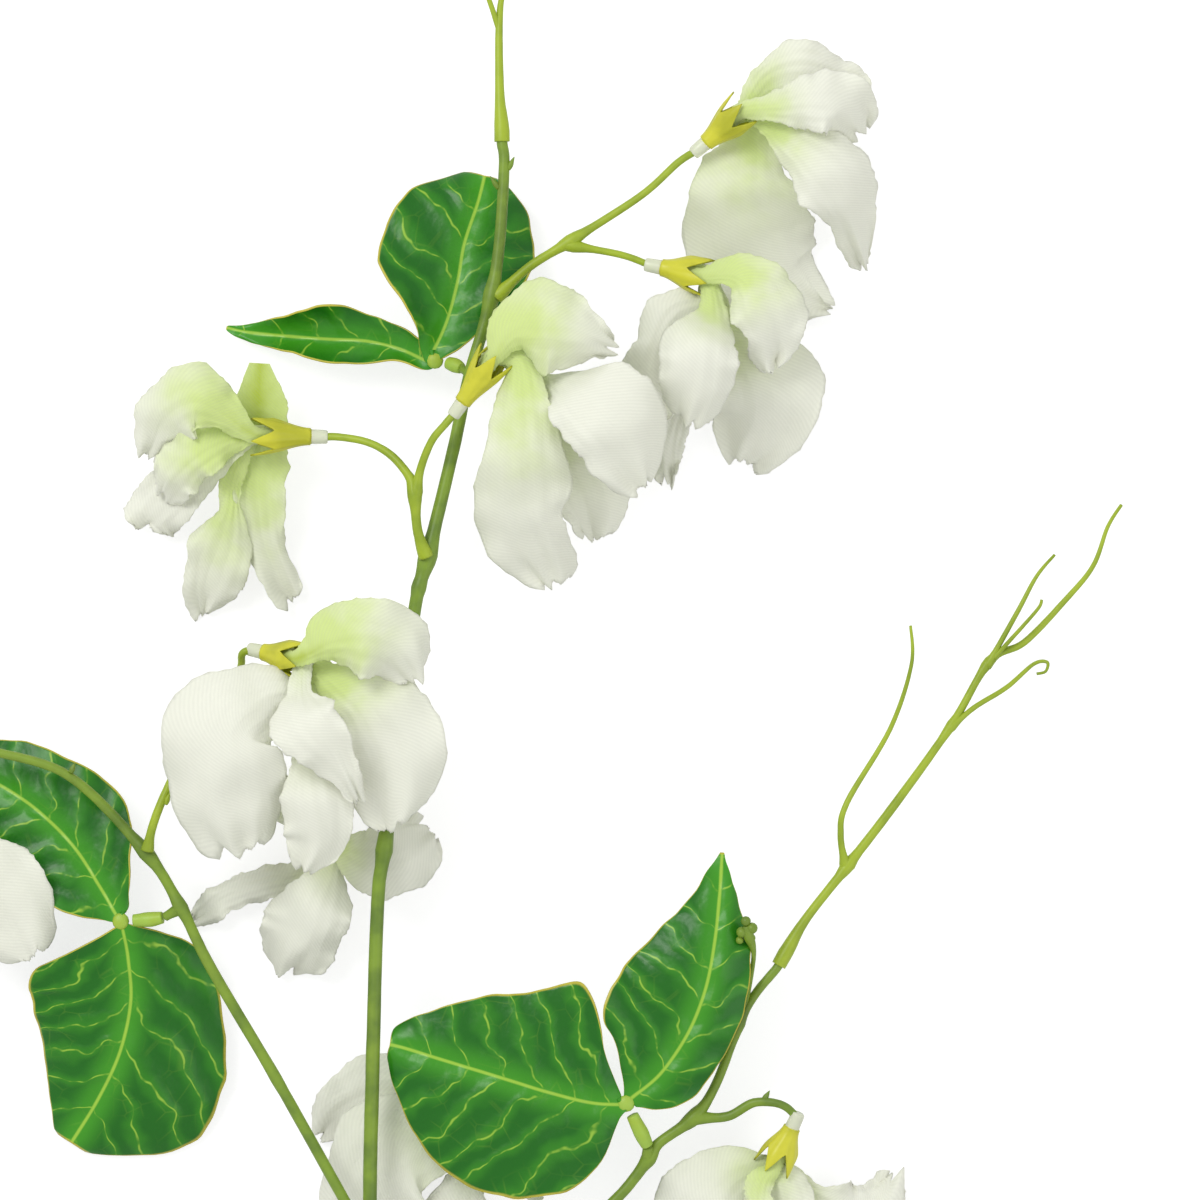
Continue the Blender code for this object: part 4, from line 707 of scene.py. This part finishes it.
def printed_leaf(settings):
    """A printed and lacquered leaf: dark glossy green, a yellow-green net of veins that glows
    into the green beside it, and a thin yellow cut edge."""
    material, tree, output = new_material("printed_lacquered_leaf")
    place = place_mm(tree)
    split = add(tree, "ShaderNodeSeparateXYZ", {0: place})
    wander = add(tree, "ShaderNodeTexNoise", {"Vector": place, "Scale": 0.11, "Detail": 2.0}).outputs["Fac"]
    across = maths(tree, "ABSOLUTE", split.outputs[0])
    along = maths(tree, "ADD", split.outputs[1], maths(tree, "MULTIPLY", wander, 11.0))
    # Side veins leave the midrib forwards, one every few millimetres.
    course = maths(tree, "SUBTRACT", along, maths(tree, "MULTIPLY", across, settings.vein_slope))
    phase = maths(tree, "FRACT", maths(tree, "DIVIDE", course, settings.vein_spacing_mm))
    from_vein = maths(tree, "MULTIPLY", maths(tree, "ABSOLUTE", maths(tree, "SUBTRACT", phase, 0.5)), 2.0)
    side_core = ranged(tree, from_vein, 0.91, 0.985)
    side_glow = ranged(tree, from_vein, 0.2, 1.0)
    patchy = add(tree, "ShaderNodeTexNoise", {"Vector": place, "Scale": 0.35, "Detail": 2.0}).outputs["Fac"]
    side_core = maths(tree, "MULTIPLY", side_core, ranged(tree, patchy, 0.36, 0.6, 0.08, 0.7))
    rib_core = ranged(tree, across, 0.5, 0.12, 0.0, 0.8)
    rib_glow = ranged(tree, across, 6.0, 0.2)
    net = add(tree, "ShaderNodeTexVoronoi", {"Vector": place, "Scale": 0.26, "Randomness": 1.0},
              feature="DISTANCE_TO_EDGE")
    net_core = maths(tree, "MULTIPLY", ranged(tree, net.outputs["Distance"], 0.05, 0.005),
                     ranged(tree, wander, 0.45, 0.65, 0.0, 0.08))
    glow = maths(tree, "MAXIMUM", maths(tree, "MULTIPLY", side_glow, 0.35),
                 maths(tree, "MULTIPLY", rib_glow, 0.7))
    body = blend(tree, glow, rgba(settings.dark), rgba(settings.light))
    core = maths(tree, "MAXIMUM", maths(tree, "MAXIMUM", side_core, rib_core), net_core)
    veined = blend(tree, core, body, rgba(settings.vein))
    edge = add(tree, "ShaderNodeAttribute", attribute_name="tone").outputs["Fac"]
    colour = blend(tree, ranged(tree, edge, 0.965, 0.99), veined, rgba(settings.edge))
    relief = maths(tree, "ADD", maths(tree, "MULTIPLY", side_glow, 0.6), maths(tree, "MULTIPLY", patchy, 0.7))
    bump = add(tree, "ShaderNodeBump", {"Height": relief, "Strength": 0.5, "Distance": 0.5 * MM})
    shader = add(tree, "ShaderNodeBsdfPrincipled", {
        "Base Color": colour, "Roughness": 0.33, "Specular IOR Level": 0.35,
        "Normal": bump.outputs[0]})
    tree.links.new(shader.outputs[0], output.inputs["Surface"])
    return material


def shared(name, make):
    """The material of that name, made the first time it is asked for."""
    if name not in SHARED:
        SHARED[name] = make()
    return SHARED[name]


def stem_green(plastic):
    """The main stem and the branches."""
    return shared("stem", lambda: moulded_plastic("moulded_stem", plastic.stem, plastic.stem_shadow))


def twig_green(plastic):
    """Flower stalks and tendrils, yellower than the stem."""
    return shared("twig", lambda: moulded_plastic("moulded_twig", plastic.twig, plastic.twig_shadow))


# ---- settings ------------------------------------------------------------------------------
def colour(name, description, colour_hex):
    """A colour setting, with an sRGB hex colour as its default."""
    return FloatVectorProperty(name=name, description=description, default=linear(colour_hex)[:3],
                               min=0.0, max=1.0, subtype="COLOR")


class ClothSettings(bpy.types.PropertyGroup):
    white: colour("Cloth", "Colour of the cloth", "#F3F4E7")
    throat: colour("Throat", "Colour sprayed in the throat", "#D9EA98")
    deep_throat: colour("Deep throat", "Colour at the claw", "#B9CC45")
    ruffle_mm: FloatProperty(
        name="Ruffle", default=1.3, min=0.0, max=4.0,
        description="Height of the waves at a petal's edge, mm")
    fray_mm: FloatProperty(
        name="Fray", default=0.3, min=0.0, max=2.0,
        description="How far threads stand out of a cut edge, mm")
    rib_mm: FloatProperty(
        name="Twill rib", default=0.55, min=0.2, max=2.0,
        description="Distance between two ribs of the weave, mm")
    translucency: FloatProperty(
        name="Light through", default=0.16, min=0.0, max=1.0, subtype="FACTOR",
        description="Share of light the cloth lets through")


class PlasticSettings(bpy.types.PropertyGroup):
    stem: colour("Stem", "Colour of the stems", "#7E9A30")
    stem_shadow: colour("Stem shade", "Darker patches of the stems", "#5F7A2A")
    twig: colour("Twig", "Colour of stalks and tendrils", "#A0B42E")
    twig_shadow: colour("Twig shade", "Darker patches of stalks", "#869C24")
    calyx: colour("Calyx", "Colour of the calyces", "#CDCB38")
    calyx_shadow: colour("Calyx shade", "Darker patches of the calyces", "#AFB12A")
    peg: colour("Peg", "Colour of the leaf pegs", "#9DBE4A")
    sleeve: colour("Glue", "Tint of the glue sleeves", "#F2F6DC")


class LeafSettings(bpy.types.PropertyGroup):
    dark: colour("Leaf", "Colour between the veins", "#14640A")
    light: colour("Glow", "Colour beside the veins", "#46A01E")
    vein: colour("Vein", "Colour of the veins", "#A6CC45")
    edge: colour("Edge", "Colour of the cut edge", "#C2B845")
    vein_spacing_mm: FloatProperty(
        name="Vein spacing", default=VEIN_SPACING, min=2.0, max=20.0,
        description="Distance between side veins, mm")
    vein_slope: FloatProperty(
        name="Vein slope", default=VEIN_SLOPE, min=0.0, max=3.0,
        description="How steeply side veins run forwards")


class StageSettings(bpy.types.PropertyGroup):
    floor_size: FloatProperty(
        name="Floor", default=12.0, min=1.0, unit="LENGTH",
        description="Side of the white floor")
    sky: FloatProperty(
        name="Sky", default=0.76, min=0.0,
        description="Strength of the even white light")
    key: FloatProperty(
        name="Key light", default=6.5, min=0.0, unit="POWER",
        description="Power of the large soft lamp")


# ---- pieces --------------------------------------------------------------------------------
def petal_rows(petal, base, mouth):
    """A petal's rows with its claw in front, and its edge lifts worked out from the cups."""
    slot, cup_left, cup_right, rows = petal
    rows = list(rows)
    if slot is not None:
        axis = (Vector(mouth) - Vector(base)).normalized()
        up = (Vector((0, 0, 1)) - axis * axis.z).normalized()
        claw = Vector(mouth) + axis * CLAW_START + up * slot * CLAW_GATHER
        neck = Vector(mouth) + axis * CLAW_LENGTH + up * slot * CLAW_SPREAD
        rows = [(*claw, CLAW_HALF_WIDTH, CLAW_HALF_WIDTH),
                (*neck, CLAW_HALF_WIDTH, CLAW_HALF_WIDTH)] + rows
    return [(x, y, z, left, right, cup_left * left, cup_right * right) for x, y, z, left, right in rows]


def make_petal(name, rows, cloth):
    """One ruffled petal with a frayed edge."""
    draw = random.Random(name)
    phases = [draw.uniform(0, 2 * math.pi) for _ in range(6)]
    waves = draw.uniform(2.2, 3.4)
    strength, reach = THROATS.get(name, THROAT_USUAL)
    lengths = spine_lengths(rows, PETAL_ROWS)
    grid, places, tones = [], [], []
    for k in range(PETAL_ROWS + 1):
        along = k / PETAL_ROWS
        open_out = smooth(0.12, 0.6, along)
        row, place, tone = [], [], []
        for m in range(PETAL_COLUMNS + 1):
            across = 2 * m / PETAL_COLUMNS - 1
            point, half_width, side, heading = sheet_point(rows, along, across)
            point += side * across * half_width * PETAL_FULLNESS * open_out
            rim = abs(across) ** 3 * open_out
            turn = phases[0 if across > 0 else 1]
            lift = cloth.ruffle_mm * rim * math.sin(2 * math.pi * waves * along + turn)
            lift += 0.45 * cloth.ruffle_mm * rim * math.sin(2 * math.pi * 2.7 * waves * along + phases[2])
            tip = smooth(0.7, 1.0, along)
            lift += 0.7 * cloth.ruffle_mm * tip * math.sin(1.5 * math.pi * across + phases[3])
            lift += 1.5 * open_out * noise.noise(point * 0.11 + Vector((phases[4], phases[5], 0)))
            lift += 0.09 * open_out * (1 - tip) * math.sin(across * 15 + phases[4] + 3 * along)
            outline = Vector((along * 6, 3 * math.copysign(1, across), phases[2]))
            wide = open_out * (1.5 * noise.noise(outline) + 0.7 * noise.noise(outline * 2.7))
            point = point + Vector((0, 0, lift)) + side * wide * across * abs(across)
            if k > CLAW_ROWS and m in (0, PETAL_COLUMNS):
                point += side * across * draw.uniform(-0.4, 1.0) * cloth.fray_mm
            if tip:
                lobe = noise.noise(Vector((across * 2.2, phases[1], phases[0])))
                point += heading * tip * tip * 2.6 * lobe
            if k == PETAL_ROWS:
                point += heading * draw.uniform(-0.6, 1.0) * cloth.fray_mm
            row.append(point)
            place.append((across * half_width, lengths[k]))
            fade = 1 - smooth(0.03, min(1.5 * reach, 1.1), along)
            tone.append(strength * fade * (1 - 0.3 * abs(across)))
        grid.append(row)
        places.append(place)
        tones.append(tone)
    shape = Shape()
    shape.grid(grid, places, tones)
    twill = shared("cloth", lambda: pressed_cloth(cloth))
    shape.build(name + "_cloth", twill, name, CLOTH)


def make_calyx(name, base, mouth, roll, plastic):
    """A flared cup with five pointed sepals, and the clear sleeve behind it."""
    base, mouth = Vector(base), Vector(mouth)
    axis = mouth - base
    length = axis.length
    axis.normalize()
    first = axis.cross(Vector((0, 0, 1))).normalized()
    second = axis.cross(first)
    columns, rows = 60, 22
    grid = []
    for k in range(rows + 1):
        share = k / rows
        row = []
        for column in range(columns):
            angle = 2 * math.pi * column / columns
            phase = (SEPALS * column / columns) % 1
            point_share = (1 - abs(2 * phase - 1)) ** 1.25
            height = share * (0.86 * length + SEPAL_LENGTH * point_share)
            spread = smooth(0, 1.15, height / length)
            radius = CALYX_BASE_RADIUS + (CALYX_MOUTH_RADIUS - CALYX_BASE_RADIUS) * spread
            radius += (0.5 * max(height - length, 0) / SEPAL_LENGTH
                       + 0.12 * math.cos(2 * math.pi * phase * 2) * share)
            turn = angle + math.radians(roll)
            row.append(base + axis * height + (first * math.cos(turn) + second * math.sin(turn)) * radius)
        grid.append(row)
    shape = Shape()
    flat = [[(0.0, 0.0)] * columns] * (rows + 1)
    shape.grid(grid, flat, [[0.0] * columns] * (rows + 1), wrap=True)
    bead(shape, base + axis * 0.6, CALYX_BASE_RADIUS * 0.97)
    green = shared("calyx", lambda: moulded_plastic("moulded_calyx", plastic.calyx,
                                                    plastic.calyx_shadow, 0.36))
    shape.build(name + "_moulded", green, name, CALYX_WALL)
    sleeve = Shape()
    foot = base - axis * SLEEVE_LENGTH
    tube(sleeve, [(*foot, SLEEVE_RADIUS * 0.8), (*(foot + axis * 0.5), SLEEVE_RADIUS),
                  (*(base + axis * 0.2), SLEEVE_RADIUS * 1.08)], sides=20, steps=8)
    sleeve.build(name + "_sleeve", shared("glue", lambda: clear_glue(plastic)), name)


def leaf_rows(rows, hub, step):
    """A leaf's rows with one more in front, inside the hub that carries it."""
    centre = Vector(hub)
    towards = (Vector(rows[0][:3]) - centre).normalized()
    x, y, z = centre + towards * LEAF_START
    return [(x, y, z + step * LEAF_STEP, LEAF_START_WIDTH, LEAF_START_WIDTH, 0, 0)] + list(rows)


def add_leaf(shape, rows, seed):
    """Adds one leaf: a grooved midrib, quilted between the side veins, with a gently waved edge."""
    draw = random.Random(seed)
    phases = [draw.uniform(0, 2 * math.pi) for _ in range(3)]
    lengths = spine_lengths(rows, LEAF_ROWS)
    grid, places, tones = [], [], []
    for k in range(LEAF_ROWS + 1):
        along = k / LEAF_ROWS
        open_out = smooth(0.05, 0.3, along) * (1 - smooth(0.85, 1.0, along))
        row, place, tone = [], [], []
        for m in range(LEAF_COLUMNS + 1):
            across = 2 * m / LEAF_COLUMNS - 1
            point, half_width, side, _ = sheet_point(rows, along, across)
            distance = abs(across) * half_width
            lift = 0.5 * open_out * smooth(0.0, 2.4, distance)
            course = 2 * math.pi * (lengths[k] - VEIN_SLOPE * distance) / VEIN_SPACING
            lift += 0.10 * open_out * math.sin(course)
            turn = phases[0 if across > 0 else 1]
            lift += 0.8 * open_out * across ** 4 * math.sin(2 * math.pi * 2.3 * along + turn)
            lift += 0.5 * open_out * noise.noise(point * 0.08)
            row.append(point + Vector((0, 0, lift)) + side * 0.5 * across * noise.noise(point * 0.25))
            place.append((across * half_width, lengths[k]))
            tone.append(max(abs(across), 1 - 2.5 * (1 - along)) if along > 0.1 else 0.0)
        grid.append(row)
        places.append(place)
        tones.append(tone)
    shape.grid(grid, places, tones)


class OBJECT_OT_sweet_pea_stems(bpy.types.Operator):
    """Build the main stem and the two branches"""
    bl_idname = "object.sweet_pea_stems"
    bl_label = "Stems"

    def execute(self, context):
        plastic = context.scene.sweet_pea_plastic
        parts = {
            "main_stem": [MAIN_STEM + [(25.5, 272.6, 16.5, 1.05)], UPPER_LEAF_STUB],
            "left_branch": [to_calyx(LEFT_BRANCH, "bloom_far_left"), LEFT_LEAF_STUB],
            "right_branch": [RIGHT_BRANCH + [(81.2, 109, 16.8, 0.9)], RIGHT_LEAF_STUB,
                             to_calyx(RIGHT_SIDE_STALK, "bloom_low_right"), BUD_STALK],
        }
        for node, paths in parts.items():
            shape = Shape()
            for path in paths:
                tube(shape, path)
            for foot, towards, length, owner in BRACTS:
                if owner == node:
                    bract(shape, foot, towards, length)
            if node == "right_branch":
                for centre, radius in BUDS:
                    bead(shape, centre, radius)
            shape.build(node + "_moulded", stem_green(plastic), node)
        return {"FINISHED"}


class OBJECT_OT_sweet_pea_stalks(bpy.types.Operator):
    """Build the flower stalks"""
    bl_idname = "object.sweet_pea_stalks"
    bl_label = "Flower stalks"

    def execute(self, context):
        plastic = context.scene.sweet_pea_plastic
        for node, (_, path, bloom, arms) in FLOWER_STALKS.items():
            shape = Shape()
            tube(shape, to_calyx(path, bloom))
            for arm, arm_bloom in arms:
                tube(shape, to_calyx(arm, arm_bloom))
            for foot, towards, length, owner in BRACTS:
                if owner == node:
                    bract(shape, foot, towards, length)
            shape.build(node + "_moulded", twig_green(plastic), node)
        return {"FINISHED"}


class OBJECT_OT_sweet_pea_tendrils(bpy.types.Operator):
    """Build the two tendril sprigs"""
    bl_idname = "object.sweet_pea_tendrils"
    bl_label = "Tendrils"

    def execute(self, context):
        plastic = context.scene.sweet_pea_plastic
        for node, (path, arms) in TENDRILS.items():
            shape = Shape()
            for arm in [path] + arms:
                tube(shape, arm, sides=14)
            shape.build(node + "_moulded", twig_green(plastic), node)
        return {"FINISHED"}


class OBJECT_OT_sweet_pea_leaves(bpy.types.Operator):
    """Build the leaf pairs and the pegs that hold them"""
    bl_idname = "object.sweet_pea_leaves"
    bl_label = "Leaves and pegs"

    def execute(self, context):
        plastic, leaf = context.scene.sweet_pea_plastic, context.scene.sweet_pea_leaf
        pale = shared("peg", lambda: moulded_plastic("moulded_peg", plastic.peg, plastic.twig))
        for node, path in LEAF_PEGS.items():
            shape = Shape()
            tube(shape, path, steps=18)
            shape.build(node + "_moulded", pale, node)
        print_green = shared("leaf", lambda: printed_leaf(leaf))
        for node, pair in LEAF_PAIRS.items():
            shape = Shape()
            for step, rows in zip((1, -1), pair["leaves"]):
                add_leaf(shape, leaf_rows(rows, pair["hub"], step), f"{node}{step}")
            shape.build(node + "_printed", print_green, node, LEAF_SHEET)
            hub = Shape()
            bead(hub, pair["hub"], HUB_RADIUS, (1, 1, HUB_HEIGHT / 2 / HUB_RADIUS))
            hub.build(node + "_hub", pale, node)
        return {"FINISHED"}


class OBJECT_OT_sweet_pea_blooms(bpy.types.Operator):
    """Build every bloom: calyx, glue sleeve and petals"""
    bl_idname = "object.sweet_pea_blooms"
    bl_label = "Blooms"

    def execute(self, context):
        cloth, plastic = context.scene.sweet_pea_cloth, context.scene.sweet_pea_plastic
        for name, bloom in BLOOMS.items():
            base, mouth, roll = bloom["calyx"]
            make_calyx(name + "_calyx", base, mouth, roll, plastic)
            for petal_name, petal in bloom["petals"].items():
                make_petal(f"{name}_{petal_name}", petal_rows(petal, base, mouth), cloth)
        return {"FINISHED"}


class OBJECT_OT_sweet_pea_stage(bpy.types.Operator):
    """Build the white floor, the light and the camera"""
    bl_idname = "object.sweet_pea_stage"
    bl_label = "Stage"

    def execute(self, context):
        stage = context.scene.sweet_pea_stage
        scene = context.scene
        half = stage.floor_size / 2
        mesh = bpy.data.meshes.new("floor")
        corners = [(-half, -half, 0), (half, -half, 0), (half, half, 0), (-half, half, 0)]
        mesh.from_pydata(corners, [], [(0, 1, 2, 3)])
        material, tree, output = new_material("white_studio_floor")
        # Seen directly, the floor glows a little, so that it is white with a faint soft shadow.
        glow = add(tree, "ShaderNodeEmission", {"Color": (1, 1, 1, 1), "Strength": 0.72})
        thin = add(tree, "ShaderNodeBsdfDiffuse", {"Color": (0.42, 0.42, 0.42, 1)})
        seen = add(tree, "ShaderNodeAddShader", {0: glow.outputs[0], 1: thin.outputs[0]})
        paint = add(tree, "ShaderNodeBsdfDiffuse", {"Color": (0.8, 0.8, 0.8, 1)})
        ray = add(tree, "ShaderNodeLightPath")
        mixed = add(tree, "ShaderNodeMixShader", {0: ray.outputs["Is Camera Ray"], 1: paint.outputs[0],
                                                  2: seen.outputs[0]})
        tree.links.new(mixed.outputs[0], output.inputs["Surface"])
        mesh.materials.append(material)
        floor = bpy.data.objects.new("floor", mesh)
        scene.collection.objects.link(floor)

        world = bpy.data.worlds.new("white_room")
        world.use_nodes = True
        sky = world.node_tree
        sky.nodes.clear()
        ray = add(sky, "ShaderNodeLightPath")
        extra = maths(sky, "MULTIPLY", ray.outputs["Is Camera Ray"], 1 - stage.sky)
        level = maths(sky, "ADD", extra, stage.sky)
        background = add(sky, "ShaderNodeBackground", {"Color": (1, 1, 1, 1), "Strength": level})
        sky.links.new(background.outputs[0], add(sky, "ShaderNodeOutputWorld").inputs["Surface"])
        scene.world = world

        lamps = (("key", (-0.55, 0.55, 1.05), 0.5, stage.key),
                 ("fill", (0.8, -0.3, 0.9), 0.7, 0.25 * stage.key))
        for name, place, size, power in lamps:
            light = bpy.data.lights.new(name, "AREA")
            light.energy, light.size = power, size
            lamp = bpy.data.objects.new(name, light)
            lamp.location = place
            lamp.rotation_euler = (-Vector(place)).to_track_quat("-Z", "Y").to_euler()
            scene.collection.objects.link(lamp)

        camera = bpy.data.cameras.new("camera")
        camera.type = "PERSP"
        camera.sensor_width, camera.lens, camera.clip_end = 36.0, 280.0, 50.0
        eye = bpy.data.objects.new("camera", camera)
        aim = (Vector(CAMERA_AIM) + layout_shift()) * MM
        eye.location = (aim.x, aim.y, CAMERA_HEIGHT)
        scene.collection.objects.link(eye)
        scene.camera = eye
        scene.view_settings.view_transform = "Standard"
        return {"FINISHED"}


class VIEW3D_PT_sweet_pea(bpy.types.Panel):
    """The spray's pieces and settings"""
    bl_label = "Sweet pea spray"
    bl_idname = "VIEW3D_PT_sweet_pea"
    bl_space_type = "VIEW_3D"
    bl_region_type = "UI"
    bl_category = "Sweet pea"

    def draw(self, context):
        for group, settings in SETTINGS:
            box = self.layout.box()
            for key in settings.__annotations__:
                box.prop(getattr(context.scene, group), key)
        for operator in OPERATORS:
            self.layout.operator(operator.bl_idname)


SETTINGS = (("sweet_pea_cloth", ClothSettings), ("sweet_pea_plastic", PlasticSettings),
            ("sweet_pea_leaf", LeafSettings), ("sweet_pea_stage", StageSettings))
OPERATORS = (OBJECT_OT_sweet_pea_stems, OBJECT_OT_sweet_pea_stalks, OBJECT_OT_sweet_pea_tendrils,
             OBJECT_OT_sweet_pea_leaves, OBJECT_OT_sweet_pea_blooms, OBJECT_OT_sweet_pea_stage)


def register():
    for group, settings in SETTINGS:
        bpy.utils.register_class(settings)
        setattr(bpy.types.Scene, group, PointerProperty(type=settings))
    for part in OPERATORS + (VIEW3D_PT_sweet_pea,):
        bpy.utils.register_class(part)


def unregister():
    for part in reversed(OPERATORS + (VIEW3D_PT_sweet_pea,)):
        bpy.utils.unregister_class(part)
    for group, settings in reversed(SETTINGS):
        delattr(bpy.types.Scene, group)
        bpy.utils.unregister_class(settings)


def main():
    register()
    bpy.ops.object.sweet_pea_stems()
    bpy.ops.object.sweet_pea_stalks()
    bpy.ops.object.sweet_pea_tendrils()
    bpy.ops.object.sweet_pea_leaves()
    bpy.ops.object.sweet_pea_blooms()
    bpy.ops.object.sweet_pea_stage()


if __name__ == "__main__":
    main()
